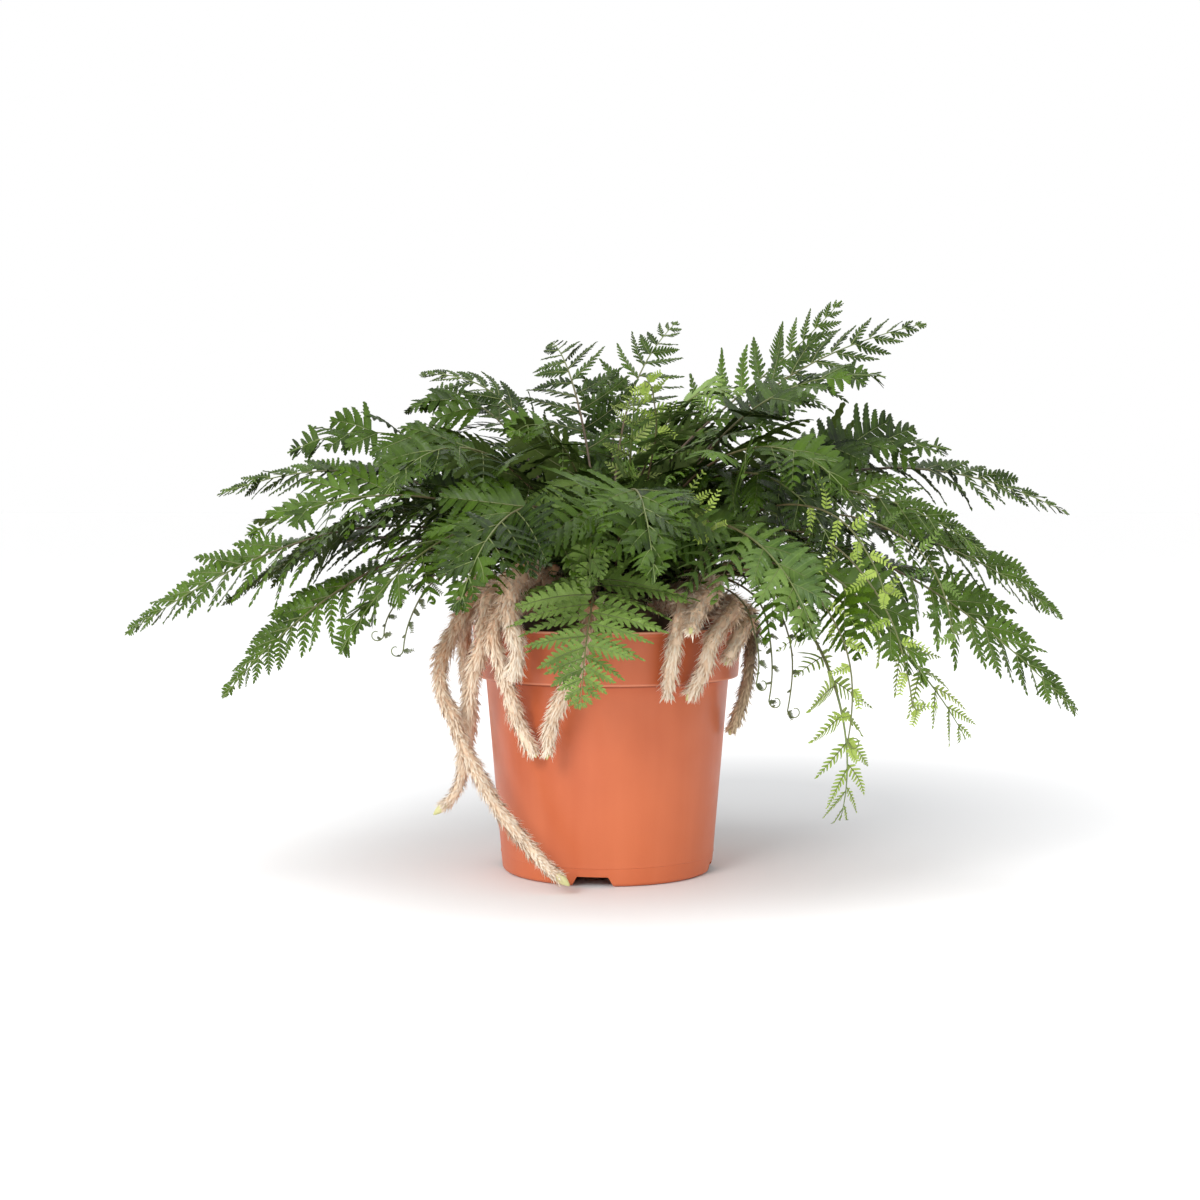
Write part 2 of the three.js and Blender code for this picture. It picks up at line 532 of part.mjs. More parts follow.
// A frond as one closed solid: a square stipe that runs on as the rib of a thin arched blade cut into pinnae
function frondSolid(frond, seed) {
  const curve = midline(frond);
  const total = curve.getLength();
  const stipe = total * (1 - frond.blade);
  const length = total - stipe;
  const random = randomFrom(seed);
  const stations = [-stipe];
  for (let j = 0; j < STIPE_STEPS; j++) stations.push((ROOT_LENGTH - stipe) * (1 - j / STIPE_STEPS));
  const bladeStation = stations.length;
  for (let j = 0; j <= PINNA_PAIRS; j++) stations.push(pinnaStart(j) * length);

  const corners = [];
  const number = (corner) => corners.push(corner) - 1;
  const rib = stations.map((s) => [number([s, RIB_HALF, 0]), number([s, -RIB_HALF, 0])]);
  const tip = number([length, 0, 0]);
  const surface = [];
  for (let i = 0; i + 1 < rib.length; i++) {
    const [[a, b], [c, d]] = [rib[i], rib[i + 1]];
    surface.push([a, c, b], [c, d, b]);
  }
  const [left, right] = rib[rib.length - 1];
  surface.push([left, tip, right]);
  for (const edge of [0, 1]) {
    for (let j = 0; j < PINNA_PAIRS; j++) {
      const pinna = pinnaCorners(frond, j, 1 - 2 * edge, length, random);
      const rootward = [rib[bladeStation + j][edge], ...pinna.rootward.map(number)];
      const tipward = [rib[bladeStation + j + 1][edge], ...pinna.tipward.map(number)];
      const faces = pinnaFaces(corners, rootward, tipward, number(pinna.tip));
      surface.push(...(edge === 0 ? faces.map(([a, b, c]) => [a, c, b]) : faces));
    }
  }

  const place = bladePlacer(frond, curve, stipe, length);
  const halfThickness = (v) => (Math.abs(v) <= RIB_HALF ? RIB_HALF : BLADE_HALF);
  const upper = corners.map((corner) => place(corner, halfThickness(corner[1])));
  const lower = corners.map((corner) => place(corner, -halfThickness(corner[1])));
  return solidFrom(indexedGeometry([...upper, ...lower], closedFaces(surface, corners.length)));
}

// The faces of a sheet, of its copy `count` vertices on, turned over, and of the walls round its open edges
function closedFaces(surface, count) {
  const faces = [];
  const edges = new Set(surface.flatMap(([a, b, c]) => [`${a} ${b}`, `${b} ${c}`, `${c} ${a}`]));
  for (const [a, b, c] of surface) {
    faces.push([a, b, c], [a + count, c + count, b + count]);
    for (const [p, q] of [[a, b], [b, c], [c, a]]) {
      if (!edges.has(`${q} ${p}`)) faces.push([q, p, p + count], [q, p + count, q + count]);
    }
  }
  return faces;
}

// The plain hole that a stipe stands in
function rootHole(frond) {
  const curve = midline(frond);
  const from = curve.getPointAt(0);
  const heading = curve.getPointAt(ROOT_LENGTH / curve.getLength()).sub(from).normalize();
  const length = ROOT_LENGTH + 3;
  const cut = new THREE.CylinderGeometry(HOLE_R, HOLE_R, length, HOLE_SIDES);
  cut.rotateX(90 * DEG);
  cut.applyQuaternion(new THREE.Quaternion().setFromUnitVectors(UP, heading));
  const middle = from.addScaledVector(heading, length / 2 - 1.2);
  return solidFrom(cut.translate(middle.x, middle.y, middle.z));
}

const boxesMeet = (a, b, gap) =>
  [0, 1, 2].every((i) => a.min[i] - gap < b.max[i] && b.min[i] - gap < a.max[i]);

// The first place tried for a frond that keeps the seat gap to everything placed before it
function placedFrond(row, seed, obstacles, mat) {
  for (let k = 0; k < MOST_TURNS; k++) {
    const frond = tried(row, k);
    const solid = frondSolid(frond, seed);
    const box = solid.boundingBox();
    const meets = obstacles.some(
      (other) => boxesMeet(box, other.box, SEAT_GAP) && solid.minGap(other.solid, SEAT_GAP) < SEAT_GAP,
    );
    if (meets) continue;
    const bored = mat.subtract(rootHole(frond));
    if (solid.minGap(bored, 0.1) >= 0.1) return { solid, box, bored };
  }
  throw new Error("no clear place for frond " + seed);
}

const COLOURS = {
  pot: [0xd9743f, 0.5],
  mix: [0x3a2a1e, 0.95],
  mat: [0x8a6a48, 0.95],
  rhizome: [0xc9ab84, 0.9],
  mature: [0x35592a, 0.55],
  fresh: [0x3f7d2b, 0.5],
  young: [0x86a83c, 0.6],
};

function part(name, solid, look) {
  const [color, roughness] = COLOURS[look];
  const material = new THREE.MeshStandardMaterial({ color, roughness, metalness: 0 });
  const mesh = new THREE.Mesh(geometryFrom(solid), material);
  mesh.name = name;
  return mesh;
}

const fern = new THREE.Group();
let seat = seatSolid();
const rhizomes = Object.entries(RHIZOMES).map(([name, rows]) => {
  const solid = rhizomeStem(rows).subtract(seat);
  seat = seat.add(rhizomeStem(rows, SEAT_GAP));
  return [name, solid];
});
const obstacles = rhizomes.map(([, solid]) => ({ solid, box: solid.boundingBox() }));
const potSolid = pot();
obstacles.push({ solid: potSolid, box: potSolid.boundingBox() });
let mat = rhizomeMat();

FRONDS.forEach((row, i) => {
  const name = `frond_${String(i + 1).padStart(2, "0")}`;
  const placed = placedFrond(row, i + 1, obstacles, mat);
  obstacles.push({ solid: placed.solid, box: placed.box });
  mat = placed.bored;
  fern.add(part(name, placed.solid, row.look));
});

fern.add(part("pot", potSolid, "pot"));
fern.add(part("potting_mix", pottingMix(), "mix"));
fern.add(part("rhizome_mat", mat, "mat"));
for (const [name, solid] of rhizomes) fern.add(part("rhizome_" + name, solid, "rhizome"));

export default fern;
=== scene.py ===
"""Looks of a potted white rabbit's foot fern: finely cut fronds, furry rhizomes, plastic pot, studio floor.

Shapes are worked out in millimetres in the frame's own axes and turned into metres as each mesh is made.
"""

import math

import bpy
import numpy as np
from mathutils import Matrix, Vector


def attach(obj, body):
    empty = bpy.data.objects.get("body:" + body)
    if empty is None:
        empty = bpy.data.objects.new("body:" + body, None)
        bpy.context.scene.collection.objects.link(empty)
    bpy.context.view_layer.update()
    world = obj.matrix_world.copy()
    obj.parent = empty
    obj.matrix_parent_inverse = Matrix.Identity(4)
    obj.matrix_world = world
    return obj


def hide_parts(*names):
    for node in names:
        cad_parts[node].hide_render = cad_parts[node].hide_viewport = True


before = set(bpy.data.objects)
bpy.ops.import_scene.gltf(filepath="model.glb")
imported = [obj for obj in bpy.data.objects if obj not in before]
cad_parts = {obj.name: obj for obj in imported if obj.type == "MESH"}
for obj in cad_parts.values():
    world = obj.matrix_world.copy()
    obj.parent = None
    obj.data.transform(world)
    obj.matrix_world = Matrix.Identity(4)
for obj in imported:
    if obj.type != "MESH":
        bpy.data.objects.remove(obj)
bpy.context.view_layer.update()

MM = 0.001
DEG = math.pi / 180
UP = np.array([0, 0, 1.0])

# Camera, found from the photograph
CAMERA_AT = (-4.6, -1200.0, 229.4)
CAMERA_PITCH = -2.84
FOCAL_MM = 56.97
SENSOR_MM = 36.0

# Studio, in metres: square lights by name, place, side and power, and the painted grey shadow on the floor
LIGHTS = (("key", (-1.1, -1.9, 1.3), 0.9, 30), ("top", (0.3, 0.2, 2.2), 1.4, 14))
LIGHTS_AIM = (0, 0, 0.16)
PAINTED_SHADOW_AT = (0.1, 0.26, 0.0)
PAINTED_SHADOW_INNER = 0.12
PAINTED_SHADOW_OUTER = 0.46
FLOOR_HALF = 60.0
FLOOR_DROP = 0.0002

# Pot
RIM_R = 85.0
POT_HEIGHT = 155.0
WALL = 1.3
BAND_BOTTOM_R = 82.8
BAND_BOTTOM_Z = 122.5
BODY_TOP_R = 76.8
BODY_FOOT_R = 66.4
FOOT_ROUNDING = 2.6
FOOT_RING_WIDTH = 3.4
FOOT_LINE_Z = 11.0
FLOOR_UNDERSIDE_Z = 3.6
FLOOR_THICKNESS = 1.6
FLOOR_TOP_Z = FLOOR_UNDERSIDE_Z + FLOOR_THICKNESS
LEDGE_Z = BAND_BOTTOM_Z + FLOOR_THICKNESS
POT_SIDES = 120
NOTCH_AZIMUTH = -98.0
NOTCH_COUNT = 4
NOTCH_TOP_WIDTH = 19.0
NOTCH_BOTTOM_WIDTH = 27.0
NOTCH_HEIGHT = 6.0
NOTCH_INNER_R = 55.0
DRAIN_HOLE_R = 4.0
DRAIN_HOLE_SIDES = 32
DRAIN_CUT_Z = 9.0
DRAIN_RING_R = 38.0
SHARP_ANGLE = 38.0
# Lines of painted highlight and painted shadow at the pot's edges fade out within about a third of this
EDGE_REACH = 2.5

# Potting mix and rhizome mat, with the gaps that keep the mix clear of the pot
MIX_SIDE_GAP = 0.4
MIX_FLOOR_GAP = 0.3
MIX_EDGE_Z = 146.0
MIX_TOP_Z = 152.0
MAT_R = 64.0
MAT_HEIGHT = 38.0
MAT_RINGS = 20
MAT_SIDES = 72
MAT_STEMS = 28
CRUMBS = 900

# Rhizomes and their scales: the shades are the tints at the crown, a third along and at the tip
CORE_SHARE = 0.62
CORE_SIDES = 12
SCALES_PER_MM2 = 0.42
SCALE_LENGTH = 7.4
MAT_SCALES_PER_MM2 = 0.34
MAT_SCALE_LENGTH = 6.0
SCALE_WIDTH = 1.4
STEM_STEP = 2.2
SHADES_AT = (0, 0.35, 1)
FUR_SHADES = (0.42, 0.54, 0.84)
DARK_FUR_SHADES = (0.3, 0.42, 1.0)

# Fronds: root, tip, midline and arch as the solids have them, with more and finer pinnae along the blade
RIB_HALF = 0.95
ROOT_DEPTH = 9.0
BLADE_ARCH = 0.16
LEAF_THICKNESS = 0.3
PINNA_LIFT = 0.26
PINNA_TILT = {"fine": (-0.35, 0.38), "broad": (-0.15, 0.55), "young": (-0.3, 0.3)}
LIFT_RANGE = {"fine": (-0.9, 0.4), "broad": (-2.5, 0.9), "young": (-1.6, 0.8)}
PINNA_TAPER = 0.8
YOUNG_TAPER = 0.4
PINNA_CROWDING = 1.4
PINNA_ANGLE = 68.0
PINNA_ANGLE_FALL = 34.0
DENSE_OPENING = 28.0
LOW_SHARE = 0.62
INNER_LOW_SHARE = 0.8
FIRST_BOOSTS = (0.7, 0.3)
LOW_BOOST = 0.4
OUTER_REACH = 235.0
HIGH_TIP_Z = 310.0
# Kinds of frond: pairs of pinnae, how their lobes are cut, and how fully they fill the gap to the next pinna
FROND_KINDS = {
    "young": (6, "young", 0.5),
    "outer": (14, "fine", 0.94),
    "high": (11, "fine", 0.66),
    "inner": (8, "broad", 1.22),
}

# Places tried for each solid frond: the values that change, how far, and the wave that each one follows
MOST_TURNS = 120
GOLDEN_ANGLE = 137.5
TURN_SHRINK = 0.2
TURNS = (("azimuth", 0.8, math.cos, 1), ("tipZ", 2.2, math.sin, 1), ("rise", 1.2, math.cos, 2),
         ("bend", 1.0, math.sin, 3), ("roll", 2.0, math.cos, 5))
MOST_MISFIT = 0.05

# Materials of a rhizome and of a leaf, by their numbers on the piece
FUR, BARE_TIP, SCAR = range(3)
UPPER, UNDER, STEM = range(3)


def polar(r, azimuth, z):
    return np.array([r * math.cos(azimuth * DEG), r * math.sin(azimuth * DEG), z])


def unit(v):
    return v / np.linalg.norm(v, axis=-1, keepdims=True)


def distances(points):
    """How far along a line of points each one lies."""
    return np.concatenate([[0], np.cumsum(np.linalg.norm(np.diff(points, axis=0), axis=1))])


def between(at, along, values):
    """Rows of x, y, z at the given distances, from the values known at the distances along."""
    return np.stack([np.interp(at, along, values[:, i]) for i in range(3)], -1)


def angles_round(sides):
    return np.arange(sides) * 2 * math.pi / sides


def turned_points(radius, angles, heights):
    """Points round Z, one ring after the other."""
    rings = np.broadcast_arrays(radius * np.cos(angles), radius * np.sin(angles), heights)
    return np.stack(rings, -1).reshape(-1, 3)


def bezier(p, t):
    return (1 - t) ** 3 * p[0] + 3 * t * (1 - t) ** 2 * p[1] + 3 * t**2 * (1 - t) * p[2] + t**3 * p[3]


# Materials


def put(node, values):
    """Sets a node's inputs, each to a plain value or by a link from a socket."""
    for key, value in values.items():
        if isinstance(value, bpy.types.NodeSocket):
            node.id_data.links.new(value, node.inputs[key])
        else:
            node.inputs[key].default_value = value


def new_material(name, look, *values):
    """A material whose shader inputs come from look, a function that adds nodes and returns the inputs."""
    material = bpy.data.materials.new(name)
    material.use_nodes = True
    tree = material.node_tree
    tree.nodes.clear()
    output = tree.nodes.new("ShaderNodeOutputMaterial")
    shader = tree.nodes.new("ShaderNodeBsdfPrincipled")
    tree.links.new(shader.outputs["BSDF"], output.inputs["Surface"])

    def add(kind, inputs=None, **settings):
        node = tree.nodes.new(kind)
        for key, value in settings.items():
            setattr(node, key, value)
        put(node, inputs or {})
        return node

    put(shader, look(add, *values))
    return material


def grey(x):
    return (x, x, x, 1.0)


def srgb(r, g, b):
    """An 8-bit display colour as a linear one with alpha."""
    def linear(x):
        x /= 255
        return x / 12.92 if x <= 0.04045 else ((x + 0.055) / 1.055) ** 2.4

    return (linear(r), linear(g), linear(b), 1.0)


def ramp(add, factor, *stops):
    """Runs through stops of position and colour, where a plain number is a grey."""
    node = add("ShaderNodeValToRGB", {"Fac": factor})
    elements = node.color_ramp.elements
    while len(elements) < len(stops):
        elements.new(0.5)
    for element, (position, colour) in zip(elements, stops):
        element.position = position
        element.color = colour if isinstance(colour, tuple) else grey(colour)
    return node.outputs["Color"]


def noise(add, scale, detail, at, roughness=0.5):
    inputs = {"Scale": scale, "Detail": detail, "Roughness": roughness, "Vector": at}
    return add("ShaderNodeTexNoise", inputs).outputs["Fac"]


def mixed(add, factor, a, b, blend="MIX"):
    return add("ShaderNodeMix", {0: factor, 6: a, 7: b}, data_type="RGBA", blend_type=blend).outputs[2]


def maths(add, operation, *values):
    return add("ShaderNodeMath", dict(enumerate(values)), operation=operation).outputs[0]


def bump(add, height, strength, distance):
    inputs = {"Height": height, "Strength": strength, "Distance": distance}
    return add("ShaderNodeBump", inputs).outputs["Normal"]


def position_of(add):
    return add("ShaderNodeTexCoord").outputs["Object"]


def tint_of(add):
    return add("ShaderNodeAttribute", attribute_name="tint").outputs["Fac"]


def pot_look(add):
    """Terracotta-coloured plastic: moulding streaks, faint dust, painted highlights and shadow at the edges."""
    at = position_of(add)
    colour = ramp(add, noise(add, 9.0, 3.0, at), (0.3, srgb(190, 95, 57)), (0.7, srgb(207, 110, 67)))
    upright = add("ShaderNodeMapping", {"Vector": at, "Scale": (60.0, 60.0, 4.0)}).outputs["Vector"]
    streaks = ramp(add, noise(add, 1.0, 2.0, upright), (0.35, srgb(180, 84, 46)), (0.7, srgb(224, 132, 92)))
    colour = mixed(add, 0.12, colour, streaks)
    specks = add("ShaderNodeTexVoronoi", {"Vector": at, "Scale": 95.0}).outputs["Distance"]
    dust = ramp(add, specks, (0.05, 1), (0.08, 0))
    rare = ramp(add, noise(add, 22.0, 2.0, at), (0.6, 0), (0.66, 1))
    colour = mixed(add, mixed(add, 1.0, dust, rare, "MULTIPLY"), colour, srgb(238, 196, 170))
    height = add("ShaderNodeSeparateXYZ", {"Vector": at}).outputs["Z"]
    # Painted highlights on the rim's top and the band's lower edge, and a painted shadow just under the band
    pale, painted_shadow = srgb(240, 172, 140), srgb(120, 54, 34)
    top, band = POT_HEIGHT, BAND_BOTTOM_Z
    for edge_z, share, tone in ((top - 0.7, 0.75, pale), (band + 0.6, 0.35, pale), (band - 0.8, 0.6, painted_shadow)):
        off = maths(add, "ABSOLUTE", maths(add, "SUBTRACT", height, edge_z * MM))
        line = ramp(add, maths(add, "MULTIPLY", off, 1 / (EDGE_REACH * MM)), (0.12, share), (0.34, 0))
        colour = mixed(add, line, colour, tone)
    return {
        "Base Color": colour,
        "Roughness": ramp(add, noise(add, 40.0, 3.0, at), (0.3, 0.36), (0.7, 0.5)),
        "Specular IOR Level": 0.42,
        "Normal": bump(add, noise(add, 900.0, 2.0, at), 0.12, 0.0004)}


def leaf_look(add, dark, light, roughness, specular):
    """Leaf surface: colour by the leaf's own tint, paler along the midrib, with faint side veins."""
    dark, light, at = srgb(*dark), srgb(*light), position_of(add)
    colour = ramp(add, tint_of(add), (0.0, dark), (1.0, light))
    uv = add("ShaderNodeUVMap", uv_map="leaf").outputs["UV"]
    leaf = add("ShaderNodeSeparateXYZ", {"Vector": uv}).outputs
    rib = ramp(add, leaf["Y"], (0.0, 1), (0.16, 0))
    colour = mixed(add, maths(add, "MULTIPLY", rib, 0.35), colour, light)
    mottle = ramp(add, noise(add, 160.0, 3.0, at), (0.3, dark), (0.75, light))
    slant = maths(add, "SUBTRACT", leaf["X"], leaf["Y"])
    veins = maths(add, "SINE", maths(add, "MULTIPLY", slant, 42.0))
    return {
        "Base Color": mixed(add, 0.25, colour, mottle),
        "Roughness": ramp(add, noise(add, 70.0, 2.0, at), (0.35, roughness * 0.6), (0.65, roughness * 1.3)),
        "Specular IOR Level": specular,
        "Normal": bump(add, veins, 0.35, 0.0003)}


def stem_look(add):
    """Stipes and leaf axes: dark wiry brown that turns green towards the leaflets, by the tint."""
    brown, green = srgb(84, 66, 48), srgb(118, 146, 74)
    colour = ramp(add, tint_of(add), (0.0, srgb(58, 42, 34)), (0.45, brown), (1.0, green))
    streak = noise(add, 420.0, 3.0, position_of(add))
    colour = mixed(add, 0.3, colour, ramp(add, streak, (0.3, srgb(36, 27, 22)), (0.7, srgb(132, 112, 80))))
    return {"Base Color": colour, "Roughness": 0.42, "Normal": bump(add, streak, 0.3, 0.0002)}


def scale_look(add, stops):
    """Papery hair-like scales: colour by the tint, which runs from a scale's dark base to its pale tip."""
    patches = noise(add, 55.0, 3.0, position_of(add))
    patchy = ramp(add, patches, (0.3, stops[0][1]), (0.7, stops[-1][1]))
    colour = mixed(add, 0.22, ramp(add, tint_of(add), *stops), patchy)
    return {"Base Color": colour, "Roughness": 0.72, "Sheen Weight": 0.25, "Specular IOR Level": 0.25}


def mix_look(add):
    """Peaty mix: dark lumps with paler fibres."""
    at = position_of(add)
    lumps = noise(add, 260.0, 6.0, at, 0.65)
    colour = ramp(add, lumps, (0.3, srgb(28, 19, 14)), (0.52, srgb(62, 44, 32)), (0.75, srgb(104, 78, 56)))
    fibres = ramp(add, noise(add, 700.0, 4.0, at), (0.4, srgb(24, 17, 12)), (0.7, srgb(126, 98, 70)))
    colour = mixed(add, 0.3, colour, fibres)
    return {"Base Color": colour, "Roughness": 0.92, "Normal": bump(add, lumps, 0.9, 0.002)}


def floor_look(add):
    """Floor with a painted shadow: pale grey behind the object, lightening to white all round."""
    at = position_of(add)
    # The grey patch behind the object is a painted shadow, which fades to white further out
    away = add("ShaderNodeVectorMath", {0: at, 1: PAINTED_SHADOW_AT}, operation="SUBTRACT").outputs["Vector"]
    away = add("ShaderNodeVectorMath", {0: away}, operation="LENGTH").outputs["Value"]
    near = ramp(add, noise(add, 3.0, 2.0, at), (0.3, (0.6, 0.606, 0.615, 1)), (0.7, (0.63, 0.636, 0.645, 1)))
    colour = mixed(add, ramp(add, away, (PAINTED_SHADOW_INNER, 0), (PAINTED_SHADOW_OUTER, 1)), near, grey(1.0))
    return {"Base Color": colour, "Roughness": 0.7, "Specular IOR Level": 0.2}


# Meshes


def linked(name, data):
    """A new object in the scene that holds the data."""
    made = bpy.data.objects.new(name, data)
    bpy.context.scene.collection.objects.link(made)
    return made


def mesh_object(name, vertices, faces):
    mesh = bpy.data.meshes.new(name)
    mesh.from_pydata([tuple(v) for v in np.asarray(vertices) * MM], [], faces)
    mesh.update()
    return linked(name, mesh)


class Sheets:
    """Gathers triangles into one mesh, with a tint and a leaf coordinate at each vertex. A look is the material
    number of the added faces."""

    def __init__(self):
        self.vertices, self.faces, self.tints, self.leaf, self.looks = [], [], [], [], []
        self.count = 0

    def add(self, vertices, faces, tint, look=0, leaf=None):
        vertices = np.asarray(vertices, float).reshape(-1, 3)
        faces = np.asarray(faces, int).reshape(-1, 3)
        self.vertices.append(vertices)
        self.faces.append(faces + self.count)
        self.tints.append(np.broadcast_to(np.asarray(tint, float), (len(vertices),)))
        self.leaf.append(np.zeros((len(vertices), 2)) if leaf is None else np.asarray(leaf, float))
        self.looks.append(np.full(len(faces), look))
        self.count += len(vertices)

    def object(self, name, materials, smooth=True):
        vertices = np.concatenate(self.vertices)
        faces = np.concatenate(self.faces)
        mesh = bpy.data.meshes.new(name)
        mesh.vertices.add(len(vertices))
        mesh.vertices.foreach_set("co", (vertices * MM).astype(np.float32).ravel())
        mesh.loops.add(faces.size)
        mesh.loops.foreach_set("vertex_index", faces.astype(np.int32).ravel())
        mesh.polygons.add(len(faces))
        mesh.polygons.foreach_set("loop_start", np.arange(0, faces.size, 3, dtype=np.int32))
        mesh.polygons.foreach_set("material_index", np.concatenate(self.looks).astype(np.int32))
        mesh.polygons.foreach_set("use_smooth", np.full(len(faces), smooth))
        layer = mesh.uv_layers.new(name="leaf")
        layer.data.foreach_set("uv", np.concatenate(self.leaf)[faces.ravel()].astype(np.float32).ravel())
        tints = mesh.attributes.new("tint", "FLOAT", "POINT")
        tints.data.foreach_set("value", np.concatenate(self.tints).astype(np.float32))
        for material in materials:
            mesh.materials.append(material)
        mesh.update(calc_edges=True)
        mesh.validate()
        return linked(name, mesh)


def ride_and_replace(piece, slot, *nodes):
    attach(piece, "root")
    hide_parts(*nodes)


def frames_along(points):
    """Tangents, normals and binormals that turn as little as they can along a line of points."""
    tangents = unit(np.gradient(points, axis=0))
    helper = UP if abs(tangents[0][2]) < 0.9 else np.array([1.0, 0, 0])
    normal = unit(np.cross(tangents[0], helper))
    normals = []
    for tangent in tangents:
        normal = unit(normal - tangent * np.dot(normal, tangent))
        normals.append(normal)
    normals = np.array(normals)
    return tangents, normals, np.cross(tangents, normals)


def ring_faces(rings, sides):
    """Triangles between neighbouring rings, and the numbers of a ring's points and of the ones after them."""
    k = np.arange(sides)
    following = (k + 1) % sides
    faces = []
    for a in range(0, (rings - 1) * sides, sides):
        b = a + sides
        faces.append(np.stack([a + k, a + following, b + k], 1))
        faces.append(np.stack([a + following, b + following, b + k], 1))
    return faces, k, following


def quads(rings, sides):
    """Four-sided faces between neighbouring rings."""
    starts = range(0, (rings - 1) * sides, sides)
    pairs = [(k, (k + 1) % sides) for k in range(sides)]
    return [[a + k, a + m, a + sides + m, a + sides + k] for a in starts for k, m in pairs]


def tube(sheets, points, radii, sides, tint, look=0):
    """A closed round tube along points."""
    points = np.asarray(points, float)
    tangents, normals, binormals = frames_along(points)
    angles = angles_round(sides)
    ring = np.cos(angles)[:, None] * normals[:, None] + np.sin(angles)[:, None] * binormals[:, None]
    radii = np.broadcast_to(np.asarray(radii, float), (len(points),))
    vertices = (points[:, None] + ring * radii[:, None, None]).reshape(-1, 3)
    faces, k, following = ring_faces(len(points), sides)
    n = len(vertices)
    faces.append(np.stack([np.full(sides, n), following, k], 1))
    last = (len(points) - 1) * sides
    faces.append(np.stack([np.full(sides, n + 1), last + k, last + following], 1))
    vertices = np.concatenate([vertices, points[:1], points[-1:] + tangents[-1:] * radii[-1]])
    tints = np.repeat(np.broadcast_to(np.asarray(tint, float), (len(points),)), sides)
    tints = np.concatenate([tints, tints[:1], tints[-1:]])
    sheets.add(vertices, np.concatenate(faces), tints, look)


def lathe(profile, sides):
    """A closed mesh turned about Z, from an (r, z) profile whose first and last points lie on the axis."""
    profile = np.asarray(profile, float)
    inner = profile[1:-1]
    rings = turned_points(inner[:, :1], angles_round(sides), inner[:, 1:])
    n = len(rings)
    vertices = np.concatenate([rings, [[0, 0, profile[0, 1]], [0, 0, profile[-1, 1]]]])
    last = n - sides
    faces = quads(len(inner), sides)
    for k in range(sides):
        m = (k + 1) % sides
        faces += [[n, m, k], [n + 1, last + k, last + m]]
    return vertices, faces


# Pot


def body_r(z):
    return BODY_FOOT_R + (BODY_TOP_R - BODY_FOOT_R) * z / BAND_BOTTOM_Z


def band_r(z):
    return BAND_BOTTOM_R + (RIM_R - BAND_BOTTOM_R) * (z - BAND_BOTTOM_Z) / (POT_HEIGHT - BAND_BOTTOM_Z)


def arc(r, z, radius, start, end, steps):
    """Points of a rounded corner about (r, z), in degrees."""
    angles = np.linspace(start, end, steps) * DEG
    return [(r + radius * math.cos(a), z + radius * math.sin(a)) for a in angles]


def pot_profile():
    """Half of the pot's section: up the outside from the middle of the floor, and down the inside."""
    inner_foot = BODY_FOOT_R - FOOT_ROUNDING - FOOT_RING_WIDTH
    heights = np.linspace(FOOT_ROUNDING, BAND_BOTTOM_Z - 1.0, 12)
    profile = [(0, FLOOR_UNDERSIDE_Z), (inner_foot, FLOOR_UNDERSIDE_Z), (inner_foot + 0.4, 0.4)]
    profile += arc(inner_foot + 0.9, 0.5, 0.5, 180, 270, 4)
    profile += arc(BODY_FOOT_R - FOOT_ROUNDING + 0.2, FOOT_ROUNDING, FOOT_ROUNDING, 270, 355, 7)
    profile += [(body_r(z), z) for z in heights if z < FOOT_LINE_Z - 1]
    profile += [(body_r(FOOT_LINE_Z), FOOT_LINE_Z), (body_r(FOOT_LINE_Z) + 0.3, FOOT_LINE_Z + 0.2)]
    profile += [(body_r(z), z) for z in heights if z > FOOT_LINE_Z + 1]
    profile += arc(body_r(BAND_BOTTOM_Z) + 0.9, BAND_BOTTOM_Z - 0.9, 0.9, 180, 90, 4)
    profile += arc(BAND_BOTTOM_R - 0.8, BAND_BOTTOM_Z + 0.8, 0.8, 270, 360, 5)
    profile += [(band_r(z), z) for z in np.linspace(BAND_BOTTOM_Z + 4, POT_HEIGHT - 4.2, 5)]
    profile += [(RIM_R - 0.35, POT_HEIGHT - 3.2), (RIM_R - 0.05, POT_HEIGHT - 2.8)]
    profile += arc(RIM_R - 0.75, POT_HEIGHT - 0.75, 0.75, 0, 90, 5)
    profile += arc(RIM_R - WALL + 0.3, POT_HEIGHT - 0.5, 0.5, 90, 170, 4)
    profile += [(band_r(LEDGE_Z) - WALL, LEDGE_Z), (body_r(LEDGE_Z) - WALL, LEDGE_Z)]
    profile += [(body_r(z) - WALL, z) for z in np.linspace(LEDGE_Z - 4, FLOOR_TOP_Z + 3, 6)]
    profile += arc(body_r(FLOOR_TOP_Z) - WALL - 2.5, FLOOR_TOP_Z + 2.5, 2.5, 0, -90, 4)
    return profile + [(0, FLOOR_TOP_Z)]


def prism(name, near, far):
    """A bar between two outlines that have the same number of corners."""
    sides = len(near)
    ends = [list(range(sides - 1, -1, -1)), list(range(sides, 2 * sides))]
    return mesh_object(name, near + far, ends + quads(2, sides))


def notch_cutter(azimuth):
    """A trapezoid bar through the foot ring."""
    low, high = NOTCH_BOTTOM_WIDTH / 2, NOTCH_TOP_WIDTH / 2
    flat = [(-low, -1), (low, -1), (high, NOTCH_HEIGHT), (-high, NOTCH_HEIGHT)]
    out, side = polar(1, azimuth, 0), polar(1, azimuth + 90, 0)
    near, far = ([out * r + side * x + UP * z for x, z in flat] for r in (NOTCH_INNER_R, RIM_R))
    return prism("notch_cutter", near, far)


def hole_cutter(azimuth):
    at = polar(DRAIN_RING_R, azimuth, 0)
    ring = [(DRAIN_HOLE_R * math.cos(a), DRAIN_HOLE_R * math.sin(a)) for a in angles_round(DRAIN_HOLE_SIDES)]
    low, high = ([at + [x, y, z] for x, y in ring] for z in (0, DRAIN_CUT_Z))
    return prism("hole_cutter", low, high)


